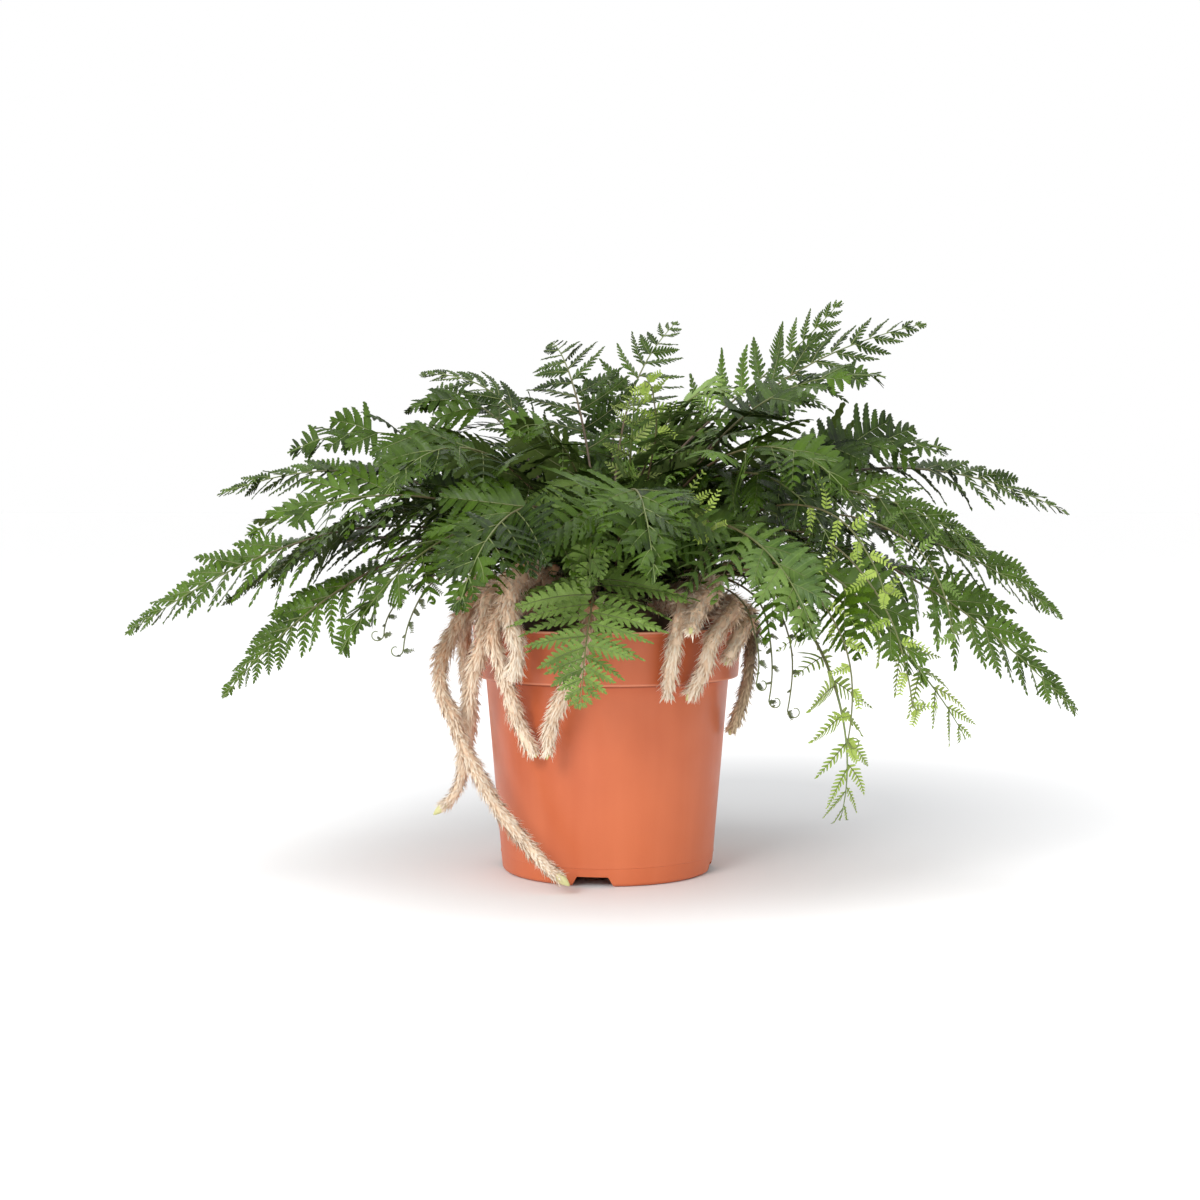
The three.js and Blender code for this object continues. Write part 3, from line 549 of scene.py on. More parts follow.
def make_pot():
    vertices, faces = lathe(pot_profile(), POT_SIDES)
    pot = mesh_object("pot_shell", vertices, faces)
    cutters = [notch_cutter(NOTCH_AZIMUTH + i * 360 / NOTCH_COUNT) for i in range(NOTCH_COUNT)]
    cutters += [hole_cutter(NOTCH_AZIMUTH + (i + 0.5) * 360 / NOTCH_COUNT) for i in range(NOTCH_COUNT)]
    for tool in cutters:
        modifier = pot.modifiers.new("cut", "BOOLEAN")
        modifier.operation = "DIFFERENCE"
        modifier.solver = "EXACT"
        modifier.object = tool
    graph = bpy.context.evaluated_depsgraph_get()
    cut = bpy.data.meshes.new_from_object(pot.evaluated_get(graph))
    pot.modifiers.clear()
    pot.data = cut
    for tool in cutters:
        bpy.data.objects.remove(tool)
    pot.data.materials.clear()
    pot.data.materials.append(new_material("terracotta_plastic", pot_look))
    pot.data.shade_smooth()
    pot.data.set_sharp_from_angle(angle=SHARP_ANGLE * DEG)
    ride_and_replace(pot, "pot", "pot")


# Potting mix and rhizome mat


def mix_top_z(r):
    return MIX_EDGE_Z + (MIX_TOP_Z - MIX_EDGE_Z) * (1 - (r / RIM_R) ** 2)


def mat_top_z(r):
    share = np.minimum(1, np.asarray(r, float) / MAT_R)
    return MIX_TOP_Z + MAT_HEIGHT * (1 - share**2.4) ** 0.8


def crumb(sheets, at, size, random, tint):
    """A rough grain: an octahedron with every corner pushed in or out."""
    corners = np.array([[1, 0, 0], [-1, 0, 0], [0, 1, 0], [0, -1, 0], [0, 0, 1], [0, 0, -1.0]])
    corners = corners * size * random.uniform(0.5, 1.2, (6, 1)) + random.uniform(-0.25, 0.25, (6, 3)) * size
    faces = [[0, 2, 4], [2, 1, 4], [1, 3, 4], [3, 0, 4], [2, 0, 5], [1, 2, 5], [3, 1, 5], [0, 3, 5]]
    sheets.add(corners + at, faces, tint)


def make_mix():
    """The mix inside the pot, with a rough top that crumbs lie on."""
    side = WALL + MIX_SIDE_GAP
    floor = FLOOR_TOP_Z + MIX_FLOOR_GAP
    ledge = LEDGE_Z + MIX_FLOOR_GAP
    edge_r = band_r(MIX_EDGE_Z) - side
    profile = [(0, floor), (body_r(floor) - side - 2.5, floor), (body_r(ledge) - side, ledge)]
    profile += [(band_r(ledge) - side, ledge)]
    profile += [(r, mix_top_z(r)) for r in np.linspace(edge_r, 2, 34)] + [(0, MIX_TOP_Z)]
    vertices, faces = lathe(profile, POT_SIDES)
    random = np.random.default_rng(5)
    radius = np.hypot(vertices[:, 0], vertices[:, 1])
    on_top = (vertices[:, 2] > MIX_EDGE_Z - 1) & (radius < edge_r - 0.5)
    vertices[on_top, 2] += random.uniform(-0.9, 1.1, on_top.sum())
    sheets = Sheets()
    triangles = [face[:3] for face in faces]
    triangles += [[face[0], face[2], face[3]] for face in faces if len(face) == 4]
    sheets.add(vertices, triangles, 0.4)
    for _ in range(CRUMBS):
        r = edge_r * math.sqrt(random.uniform(0.35, 0.96))
        at = polar(r, random.uniform(0, 360), 0)
        at[2] = mix_top_z(r) + random.uniform(-0.2, 0.6)
        crumb(sheets, at, random.uniform(0.8, 2.4), random, random.uniform(0, 1))
    piece = sheets.object("potting_mix_surface", [new_material("potting_mix", mix_look)], smooth=False)
    ride_and_replace(piece, "mix", "potting_mix")


def scales_on(sheets, points, radii, random, density, length, shade):
    """Shaggy scales on a stem: thin tapering blades that lean forward and lift off the surface."""
    tangents, normals, _ = frames_along(points)
    along = distances(points)
    area = along[-1] * 2 * math.pi * radii.mean()
    count = int(area * density)
    at = np.sort(random.uniform(0, along[-1], count))
    centre, tangent = between(at, along, points), unit(between(at, along, tangents))
    normal = unit(between(at, along, normals))
    binormal = unit(np.cross(tangent, normal))
    radius = np.interp(at, along, radii)
    angle = random.uniform(0, 2 * math.pi, count)
    outward = np.cos(angle)[:, None] * normal + np.sin(angle)[:, None] * binormal
    round_about = np.cross(tangent, outward)
    reach = length * random.uniform(0.6, 1.15, count) * np.clip(radius / 4.0, 0.6, 1.1)
    lift = random.uniform(0.25, 1.0, count)[:, None]
    sway = random.normal(0, 0.2, count)[:, None]
    heading = unit(tangent + outward * lift + round_about * sway)
    half = (SCALE_WIDTH * random.uniform(0.6, 1.15, count) / 2)[:, None]
    base = centre + outward * (radius * 0.92)[:, None]
    middle = base + heading * (reach * 0.45)[:, None] + outward * 0.35
    tip = base + heading * reach[:, None] + outward * random.uniform(-0.8, 1.2, count)[:, None]
    low, high = round_about * half, round_about * half * 0.8
    vertices = np.stack([base - low, base + low, middle - high, middle + high, tip], 1).reshape(-1, 3)
    start = np.arange(count)[:, None] * 5
    faces = np.concatenate([start + [0, 1, 3], start + [0, 3, 2], start + [2, 3, 4]], 1).reshape(-1, 3)
    own = np.interp(at, along, np.broadcast_to(shade, (len(along),))) + random.normal(0, 0.1, count)
    tints = np.stack([own * 0.6, own * 0.6, own, own, own + 0.2], 1).clip(0, 1).ravel()
    sheets.add(vertices, faces, tints, FUR)


def weighed(t, low, high, a, b):
    """In proportion between a, at low, and b, at high."""
    return (high - t) / (high - low) * a + (t - low) / (high - low) * b


def stem_points(rows, spacing):
    """A centripetal Catmull-Rom line through [x, y, z, radius] rows, and the radius along it."""
    rows = np.asarray(rows, float)
    padded = np.concatenate([[2 * rows[0] - rows[1]], rows, [2 * rows[-1] - rows[-2]]])
    points = []
    for p0, p1, p2, p3 in zip(padded, padded[1:], padded[2:], padded[3:]):
        knots = [0.0]
        for a, b in ((p0, p1), (p1, p2), (p2, p3)):
            knots.append(knots[-1] + max(1e-6, np.linalg.norm(b[:3] - a[:3])) ** 0.5)
        t0, t1, t2, t3 = knots
        steps = max(2, round(np.linalg.norm(p2[:3] - p1[:3]) / spacing))
        for t in np.linspace(t1, t2, steps, endpoint=False):
            a1, a2, a3 = weighed(t, t0, t1, p0, p1), weighed(t, t1, t2, p1, p2), weighed(t, t2, t3, p2, p3)
            b1, b2 = weighed(t, t0, t2, a1, a2), weighed(t, t1, t3, a2, a3)
            points.append(weighed(t, t1, t2, b1, b2))
    points.append(padded[-2])
    points = np.array(points)
    return points[:, :3], points[:, 3]


# Rhizomes: [x, y, z, radius] along each one, from the mat over the rim to the hanging tip
RHIZOMES = {
    "left_long": [
        (-38, -18, 168, 8.5), (-56, -28, 177, 9), (-79, -38, 181, 9), (-87, -46, 165, 7.5),
        (-95, -50, 150, 6.6), (-101, -54, 134, 6.2), (-100, -55, 116, 6), (-94, -57, 103, 5.8),
        (-87, -62, 86, 5.6), (-77, -67, 67, 5.6), (-64, -73, 47, 5.5), (-49, -80, 29.5, 5.3),
        (-37, -86, 17, 5), (-23, -92, 6.4, 3.6)],
    "left_forked": [
        (-32, -28, 168, 7), (-50, -44, 176, 7.5), (-70, -60, 176, 7.5), (-73, -66, 163, 6.8),
        (-75, -66, 149, 6.2), (-80, -57, 132, 5.8), (-85, -47, 105, 5.6), (-88, -42, 84, 5.2),
        (-89, -42, 66, 4.8), (-93, -44, 54, 4.4), (-99, -45, 47, 4), (-106, -46, 41, 3)],
    "left_inner": [
        (-27, -33, 164, 6), (-42, -51, 168, 6), (-63, -74, 167, 6), (-68, -81, 153, 6), (-64, -73, 137, 5.8),
        (-59, -69, 119, 5.8), (-54, -67, 101, 5.8), (-48, -67, 88, 5.6), (-43, -68, 79, 4)],
    "left_thick": [
        (-22, -30, 172, 8), (-36, -46, 184, 9.5), (-50, -66, 188, 10), (-57, -84, 178, 8.5),
        (-57, -91, 162, 6.6), (-53, -90, 146, 6), (-55, -85, 132, 5.4), (-56, -83, 126, 3.6)],
    "front_hidden": [
        (-7, -42, 166, 6), (-9, -62, 168, 6.5), (-10, -80, 168, 6.2), (-13, -93, 152, 6), (-19, -93, 133, 6),
        (-27, -90, 117, 5.8), (-34, -85, 98, 5.6), (-36, -84, 80, 3.8)],
    "front_right": [
        (24, -34, 168, 6), (36, -54, 170, 6.5), (44, -74, 170, 6.3), (40, -86, 152, 6), (37, -86, 134, 6),
        (35, -83, 115, 4)],
    "front_right_stub": [
        (32, -22, 172, 7), (52, -42, 180, 7.5), (62, -64, 180, 7.5), (54, -83, 169, 6.4), (48, -94, 155, 4)],
    "right_front": [
        (38, -12, 168, 6.5), (62, -32, 171, 7), (76, -56, 168, 7), (69, -69, 160, 6.4), (61, -76, 147, 6.2),
        (58, -75, 133, 6), (52, -74, 122, 5.6), (47, -74, 114, 4)],
    "right_stub": [
        (42, -3, 164, 6), (68, -16, 166, 6.5), (85, -38, 163, 6.5), (81, -52, 154, 6), (75, -59, 143, 5.6),
        (71, -60, 134, 4)],
    "right_outer": [
        (42, 4, 164, 6), (70, -1, 167, 6), (86, -10, 164, 5.8), (90, -24, 152, 5.6), (88, -31, 138, 5.4),
        (87, -31, 125, 5.2), (84, -27, 109, 5), (80, -24, 97, 4.8), (76, -22, 87, 3.4)],
    "right_arching": [
        (36, 18, 168, 6.5), (58, 19, 177, 7), (80, 16, 190, 6.8), (100, 12, 192, 6.6), (112, 10, 187, 6.4),
        (118, 9, 176, 6), (119, 9, 163, 4)],
    "back_right": [
        (32, 27, 166, 6.5), (50, 46, 171, 7), (66, 64, 170, 6.6), (70, 68, 152, 6.2), (66, 66, 128, 6),
        (62, 60, 106, 5.8), (56, 56, 88, 3.8)],
    "back_middle": [
        (5, 42, 166, 6.5), (9, 64, 172, 7), (10, 84, 172, 6.6), (14, 95, 152, 6.4), (10, 94, 128, 6),
        (4, 84, 100, 5.8), (0, 79, 72, 5.4), (2, 77, 58, 3.8)],
    "back_far_left": [
        (-38, 15, 166, 7), (-60, 25, 173, 7.5), (-82, 34, 172, 7.2), (-92, 36, 152, 6.4), (-92, 30, 126, 6),
        (-88, 24, 100, 5.8), (-90, 18, 76, 5.4), (-95, 16, 62, 3.8)],
}
DARK_RHIZOMES = {"right_outer"}
# These end in a bare green tip, and scales cover the tips of the others
BARE_TIPS = {"left_long", "left_forked"}
# Stubs that fallen fronds left: how far along each rhizome, and how thick
SCARS = {
    "left_long": [(0.13, 3.2), (0.22, 2.8)], "left_forked": [(0.16, 2.8)],
    "left_thick": [(0.24, 3.2), (0.42, 2.8)],
    "front_hidden": [(0.3, 5.2)], "front_right": [(0.34, 2.6)], "right_front": [(0.3, 2.8)],
    "right_arching": [(0.36, 2.8)], "back_middle": [(0.22, 3.0)], "back_far_left": [(0.25, 3.0)],
}
SCAR_STOPS = [(0.0, srgb(204, 166, 124)), (0.5, srgb(166, 96, 66)), (1.0, srgb(70, 40, 28))]
TIP_STOPS = [(0.0, srgb(222, 208, 172)), (0.5, srgb(212, 208, 156)), (1.0, srgb(196, 198, 132))]
FUR_STOPS = [
    (0.0, srgb(138, 90, 60)), (0.3, srgb(204, 156, 116)), (0.55, srgb(238, 215, 186)),
    (1.0, srgb(252, 243, 226))]
DARK_FUR_STOPS = [(0.0, srgb(62, 44, 34)), (0.4, srgb(112, 84, 62)), (1.0, srgb(226, 204, 170))]
MAT_STOPS = [
    (0.0, srgb(46, 32, 24)), (0.4, srgb(96, 70, 48)), (0.8, srgb(150, 118, 84)), (1.0, srgb(190, 160, 124))]


def add_scar(sheets, points, radii, share, size):
    """The round stub that a fallen frond leaves on the outer side of a stem."""
    i = int(share * (len(points) - 1))
    outward = unit(points[i] * [0.3, 1, 0] + 36.0 * UP)
    tangent = unit(points[i + 1] - points[i])
    outward = unit(outward - tangent * np.dot(outward, tangent))
    heights = radii[i] + np.array([-3.0, 0.0, 1.8, 2.3, 1.7])
    line = points[i] + outward * heights[:, None]
    tube(sheets, line, np.array([1.1, 1.0, 0.95, 0.75, 0.35]) * size, 14, [0.1, 0.2, 0.3, 0.5, 1.0], SCAR)


def make_rhizomes():
    """Creeping stems in shaggy scales, darker at the crown and paler towards the tip."""
    fur = new_material("rhizome_scales", scale_look, FUR_STOPS)
    dark = new_material("dark_rhizome_scales", scale_look, DARK_FUR_STOPS)
    bare = new_material("growing_tip", scale_look, TIP_STOPS)
    scar = new_material("stipe_scar", scale_look, SCAR_STOPS)
    for i, (name, rows) in enumerate(RHIZOMES.items()):
        random = np.random.default_rng(100 + i)
        is_dark, is_bare = name in DARK_RHIZOMES, name in BARE_TIPS
        points, radii = stem_points(rows, STEM_STEP)
        share = np.linspace(0, 1, len(points))
        core = radii * CORE_SHARE * (1 + 0.07 * np.sin(share * 40 + i))
        shade = np.interp(share, SHADES_AT, DARK_FUR_SHADES if is_dark else FUR_SHADES)
        sheets = Sheets()
        end = -3 if is_bare else -1
        tube(sheets, points[:-2], core[:-2], CORE_SIDES, shade[:-2] * 0.7, FUR)
        scales_on(sheets, points[:end], core[:end], random, SCALES_PER_MM2, SCALE_LENGTH, shade[:end])
        for at, size in SCARS.get(name, ()):
            add_scar(sheets, points, radii, at, size)
        cone = np.array([0.66, 0.7, 0.62, 0.46, 0.2]) * radii[-5] * (1 if is_bare else 0.7)
        tube(sheets, points[-5:], cone, CORE_SIDES, np.linspace(0.1, 1, 5), BARE_TIP)
        piece = sheets.object("rhizome_fur_" + name, [dark if is_dark else fur, bare, scar])
        ride_and_replace(piece, "rhizome", "rhizome_" + name)


def make_mat():
    """The knot of stems over the mix: a rough dome, with furry stems lying across it."""
    random = np.random.default_rng(9)
    sheets = Sheets()
    shares = np.linspace(1, 0.02, MAT_RINGS)
    angles = angles_round(MAT_SIDES)
    radius = shares[:, None] * (MAT_R - 2 + 2.0 * np.sin(9 * angles))[None]
    heights = mat_top_z(radius) - 2.5 + random.uniform(-1.2, 1.2, radius.shape)
    heights[0] = mix_top_z(MAT_R) - 0.5
    vertices = turned_points(radius, angles, heights)
    faces, k, following = ring_faces(MAT_RINGS, MAT_SIDES)
    top = len(vertices)
    last = top - MAT_SIDES
    vertices = np.concatenate([vertices, [[0, 0, mat_top_z(0) - 2.5]]])
    faces.append(np.stack([last + k, last + following, np.full(MAT_SIDES, top)], 1))
    sheets.add(vertices, np.concatenate(faces), 0.12)
    for i in range(MAT_STEMS):
        start = random.uniform(0, 360)
        sweep = random.uniform(-70, 70)
        inner, outer = random.uniform(3, 30), random.uniform(40, 62)
        steps = np.linspace(0, 1, 16)
        azimuth = start + sweep * steps + 8 * np.sin(steps * 5 + i)
        r = inner + (outer - inner) * steps
        points = np.stack([polar(a, b, 0) for a, b in zip(r, azimuth)])
        points[:, 2] = mat_top_z(r) - 1.2 + 1.2 * np.sin(steps * 7 + i)
        radii = np.linspace(4.6, 3.2, len(steps)) * random.uniform(0.8, 1.1)
        tube(sheets, points, radii, 8, 0.2)
        scales_on(sheets, points, radii, random, MAT_SCALES_PER_MM2, MAT_SCALE_LENGTH, 0.5)
    piece = sheets.object("rhizome_mat_surface", [new_material("mat_scales", scale_look, MAT_STOPS)])
    ride_and_replace(piece, "mat", "rhizome_mat")


# Fronds, one row each, as in the solids. The look is mature unless a row names another
FROND_COLUMNS = (
    "azimuth", "reach", "tipZ", "rootR", "bend", "rise", "fall", "pull", "pinna", "blade", "roll", "look")
FRONDS = [
    # those that draw the outline seen from the front
    (22, 167, 365, 12, 25, 80, 50, 0.4, 62, 0.56, -50),
    (67, 130, 354, 10, 10, 84, 30, 0.4, 54, 0.6, -30),
    (112, 130, 336, 12, 0, 82, 8, 0.4, 56, 0.54, 20),
    (166, 126, 329, 14, -14, 80, -5, 0.4, 54, 0.56, 40),
    (0, 200, 330, 14, 6, 74, 12, 0.4, 58, 0.54, -42),
    (-24, 180, 296, 18, 0, 70, -8, 0.4, 56, 0.64, -32),
    (-33, 163, 44, 40, 22, 44, -112, 0.48, 27, 0.36, -20, "young"),
    (-14, 224, 88, 42, 16, 36, -60, 0.4, 28, 0.4, -30, "young"),
    (-96, 148, 116, 40, 4, 60, -76, 0.42, 58, 0.68, 0, "fresh"),
    (-18, 290, 107, 36, 10, 52, -46, 0.4, 62, 0.54, -34),
    (3, 296, 224, 36, 4, 58, -28, 0.4, 44, 0.46, -36),
    (174, 253, 236, 34, -6, 56, -22, 0.4, 46, 0.48, 36),
    (-165, 226, 214, 28, -12, 60, -28, 0.4, 58, 0.66, 34),
    (-177, 200, 262, 24, -10, 68, -30, 0.4, 62, 0.66, 32),
    (-7, 281, 155, 40, 8, 50, -40, 0.4, 62, 0.54, -36),
    (-6, 214, 264, 26, 8, 62, -14, 0.4, 60, 0.66, -36),
    (-176, 301, 149, 38, -8, 50, -36, 0.4, 60, 0.54, 36),
    (-164, 240, 114, 34, -22, 56, -48, 0.4, 50, 0.52, 32),
    (176, 250, 180, 42, 2, 50, -38, 0.42, 56, 0.56, 28),
    (-10, 236, 200, 30, -6, 60, -38, 0.45, 58, 0.58, -34),
    (-37, 226, 128, 30, 8, 58, -56, 0.4, 58, 0.66, -24),
    (-140, 196, 150, 20, -4, 72, -60, 0.45, 58, 0.68, 16),
    # those that hang over the front
    (-84, 226, 190, 34, 0, 64, -56, 0.45, 60, 0.62, 0),
    (-112, 214, 172, 30, 0, 64, -60, 0.45, 62, 0.62, 14),
    (-56, 202, 156, 30, 0, 64, -66, 0.45, 60, 0.62, -14, "fresh"),
    (-92, 104, 186, 22, 0, 84, -84, 1.0, 60, 0.6, 0, "fresh"),
    (-32, 168, 196, 26, 6, 72, -64, 0.6, 60, 0.6, -24),
    (-44, 112, 294, 14, -8, 84, -22, 0.4, 58, 0.68, -20, "fresh"),
    (-112, 116, 276, 14, 10, 84, -34, 0.4, 60, 0.68, 16),
    (-132, 186, 236, 22, -4, 70, -48, 0.45, 62, 0.6, 20),
    (-48, 192, 236, 22, 4, 70, -48, 0.45, 62, 0.6, -20),
    (-66, 60, 300, 26, 12, 84, 40, 0.4, 28, 0.4, 0, "young"),
    # those behind
    (90, 190, 320, 22, -5, 80, 0, 0.4, 62, 0.62, 0),
    (32, 230, 260, 28, 0, 64, -24, 0.45, 64, 0.68, -16),
    (68, 222, 262, 28, 5, 66, -26, 0.45, 64, 0.68, -14),
    (106, 222, 256, 32, -5, 66, -28, 0.45, 64, 0.68, 14),
    (140, 226, 266, 28, 4, 66, -26, 0.45, 64, 0.68, 16),
    (154, 150, 300, 18, 0, 74, -26, 0.45, 60, 0.6, 24),
    (22, 280, 186, 40, 0, 54, -40, 0.45, 62, 0.56, -16),
    (52, 256, 176, 40, 4, 56, -48, 0.5, 62, 0.58, -14),
    (86, 228, 164, 40, 0, 58, -58, 0.55, 62, 0.68, -8),
    (122, 250, 172, 40, 3, 56, -48, 0.5, 62, 0.58, 12),
    (152, 268, 178, 40, -4, 54, -40, 0.45, 62, 0.56, 16),
]
# The frond that hangs over the front of the pot has more pairs of pinnae, which stand squarer to its rib
DENSE_FRONDS = {9}
# Fronds whose own shade is known, from 0 for the darkest to 1 for the lightest
FROND_TINTS = {
    9: 0.62, 10: 0.6, 13: 0.65, 15: 0.6, 17: 0.7, 18: 0.65, 21: 0.8, 22: 0.6, 25: 0.15, 26: 0.5, 28: 0.45}


def tried(row, k):
    """The k-th place tried for a frond."""
    spread, angle = math.sqrt(k), k * GOLDEN_ANGLE * DEG
    frond = dict(row)
    for value, step, wave, times in TURNS:
        frond[value] += step * spread * wave(times * angle)
    frond["pinna"] *= 1 - TURN_SHRINK * k / MOST_TURNS
    return frond


def root_of(frond):
    z = float(mat_top_z(frond["rootR"])) - ROOT_DEPTH
    return polar(frond["rootR"], frond["azimuth"] + frond["bend"], z)


def tip_of(frond):
    return polar(frond["reach"], frond["azimuth"], frond["tipZ"])


def placed(row, node):
    """The place whose root and tip the solid frond has: its corners lie a known way off both."""
    corners = np.array([v.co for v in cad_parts[node].data.vertices]) / MM

    def misfit(frond):
        tip = np.linalg.norm(corners - tip_of(frond), axis=1).min()
        root = np.linalg.norm(corners - root_of(frond), axis=1).min()
        return abs(tip - RIB_HALF) + abs(root - RIB_HALF * math.sqrt(2))

    best = min((tried(row, k) for k in range(MOST_TURNS)), key=misfit)
    if misfit(best) > MOST_MISFIT:
        raise ValueError(f"{node}: no place fits its solid")
    return best


class Blade:
    """A frond's midline and the arched, rolled surface that its leaflets lie on."""

    def __init__(self, frond):
        self.frond = frond
        root, tip = root_of(frond), tip_of(frond)
        pull = frond["pull"] * np.linalg.norm(tip - root)

        def heading(azimuth, slope):
            return polar(math.cos(slope * DEG), azimuth, math.sin(slope * DEG))

        handles = [root, root + heading(frond["azimuth"] + frond["bend"], frond["rise"]) * pull,
                   tip - heading(frond["azimuth"] - frond["bend"], frond["fall"]) * pull, tip]
        self.points = bezier(handles, np.linspace(0, 1, 401)[:, None])
        self.along = distances(self.points)
        self.tangents = unit(np.gradient(self.points, axis=0))
        self.total = self.along[-1]
        self.length = self.total * frond["blade"]
        self.stipe = self.total - self.length
        self.across = polar(1, frond["azimuth"] - 90, 0)

    def at(self, s):
        s = np.clip(s + self.stipe, 0, self.total)
        return between(s, self.along, self.points), unit(between(s, self.along, self.tangents))

    def place(self, s, v, height):
        """Points at s along the blade from its base and v across it, raised by height."""
        point, tangent = self.at(s)
        sideways = unit(self.across - tangent * (tangent @ self.across)[..., None])
        normal = np.cross(sideways, tangent)
        roll = (self.frond["roll"] * DEG * np.clip(2 * s / self.length, 0, 1))[..., None]
        out = sideways * np.cos(roll) + normal * np.sin(roll)
        up = normal * np.cos(roll) - sideways * np.sin(roll)
        arch = -BLADE_ARCH * v * v / self.frond["pinna"]
        return point + out * v[..., None] + up * (arch + height)[..., None]


def lobe_template(teeth, cut, depth, blunt):
    """A lobe in unit size, x out from the pinna's axis and y along it. It is as wide as its place up to the
    notch between lobes, and beyond that it narrows to its tip in teeth."""
    fused = 1 - cut
    ribs = [0.0, fused] + [fused + cut * (i + 1) / teeth for i in range(teeth)]

    def half(share):
        return 0.5 * (1 - share**blunt) ** (1 / blunt)

    edge = [(0.0, 0.5), (fused, 0.47)]
    for i in range(teeth):
        crest, valley = (i + 0.62) / teeth, (i + 1) / teeth
        edge.append((fused + cut * crest, half(crest * 0.9)))
        if i + 1 < teeth:
            edge.append((fused + cut * valley, half(valley) * (1 - depth)))
    points = [(x, 0.0, 0.0) for x in ribs]
    faces = []
    for side in (1, -1):
        first = len(points)
        points += [(x, side * y, 1.0) for x, y in edge]
        i = j = 0
        while i < len(ribs) - 1 or j < len(edge) - 1:
            if j == len(edge) - 1 or (i < len(ribs) - 1 and ribs[i + 1] <= edge[j + 1][0]):
                triangle = (i, i + 1, first + j)
                i += 1
            else:
                triangle = (i, first + j + 1, first + j)
                j += 1
            faces.append(triangle if side > 0 else triangle[::-1])
    return np.array(points), np.array(faces)


# Lobes: teeth on a side, share that is cut free of the neighbours, depth of the teeth, and bluntness
LOBES = {kind: lobe_template(*shape) for kind, shape in {
    "tooth": (1, 0.55, 0.0, 1.5),
    "small": (2, 0.68, 0.22, 1.7),
    "middle": (3, 0.8, 0.26, 1.8),
    "large": (4, 0.88, 0.34, 1.8),
    "divided": (6, 0.93, 0.45, 1.7),
    "broad": (4, 0.56, 0.22, 1.8),
    "broad_cut": (5, 0.72, 0.3, 1.8),
    "narrow": (2, 0.94, 0.1, 2.2),
    "round": (2, 0.9, 0.12, 2.6),
}.items()}
# Kinds of lobe in each cut, with the length that each kind stays under
LOBE_LIMITS = {
    "fine": (("tooth", 2.2), ("small", 4.2), ("middle", 7.5), ("large", 12.0), ("divided", 99.0)),
    "broad": (("tooth", 2.2), ("small", 4.0), ("broad", 8.5), ("broad_cut", 99.0)),
    "young": (("narrow", 99.0),),
}


def lobe_kind(size, cut):
    return next(kind for kind, limit in LOBE_LIMITS[cut] if size < limit)


def add_lobes(sheets, blade, lobes, random):
    """Lays lobes on the blade, with an upper and a lower sheet that meet at the edges.

    A lobe is its kind, the s and v of its root, the headings along the pinna's axis and out of it, the edge of
    the pinna (1 faces the tip), the side of the blade, and width, length, height, tilt and tint.
    """
    for kind in sorted({lobe[0] for lobe in lobes}):
        rows = np.array([lobe[1:] for lobe in lobes if lobe[0] == kind], float)
        s, v, along, out, edge, side, width, length, height, tilt, tint = rows.T[:, :, None]
        points, faces = LOBES[kind]
        count = (len(rows), 1)
        x, y, rim = points.T[:, None]
        fold, curl = random.uniform(0.0, 0.4, count), random.uniform(-0.06, 0.26, count)
        bend, twist = random.uniform(0.05, 0.25, count), random.normal(0, 0.14, count)
        forward = y * width + bend * length * x * x
        outward = x * length
        s = s + forward * np.cos(along) + outward * np.cos(out)
        v = side * (v + forward * np.sin(along) + outward * np.sin(out))
        height = height + fold * np.abs(y) * width * np.minimum(1, 3 * x)
        height = height + tilt * outward * edge + twist * y * width * x - curl * outward * x
        leaf = np.stack(np.broadcast_arrays(x + 0 * s, rim + 0 * s), -1).reshape(-1, 2)
        tint = np.clip(tint + 0 * s + random.uniform(-0.16, 0.16, count), 0, 1).ravel()
        turned = (edge * side > 0)[:, :, None]
        triangles = faces[None] + (np.arange(len(rows)) * len(points))[:, None, None]
        triangles = np.where(turned, triangles[:, :, ::-1], triangles).reshape(-1, 3)
        sheets.add(blade.place(s, v, height).reshape(-1, 3), triangles, tint, UPPER, leaf)
        under = blade.place(s, v, height - LEAF_THICKNESS * (1 - rim)).reshape(-1, 3)
        sheets.add(under, triangles[:, ::-1], tint, UNDER, leaf)


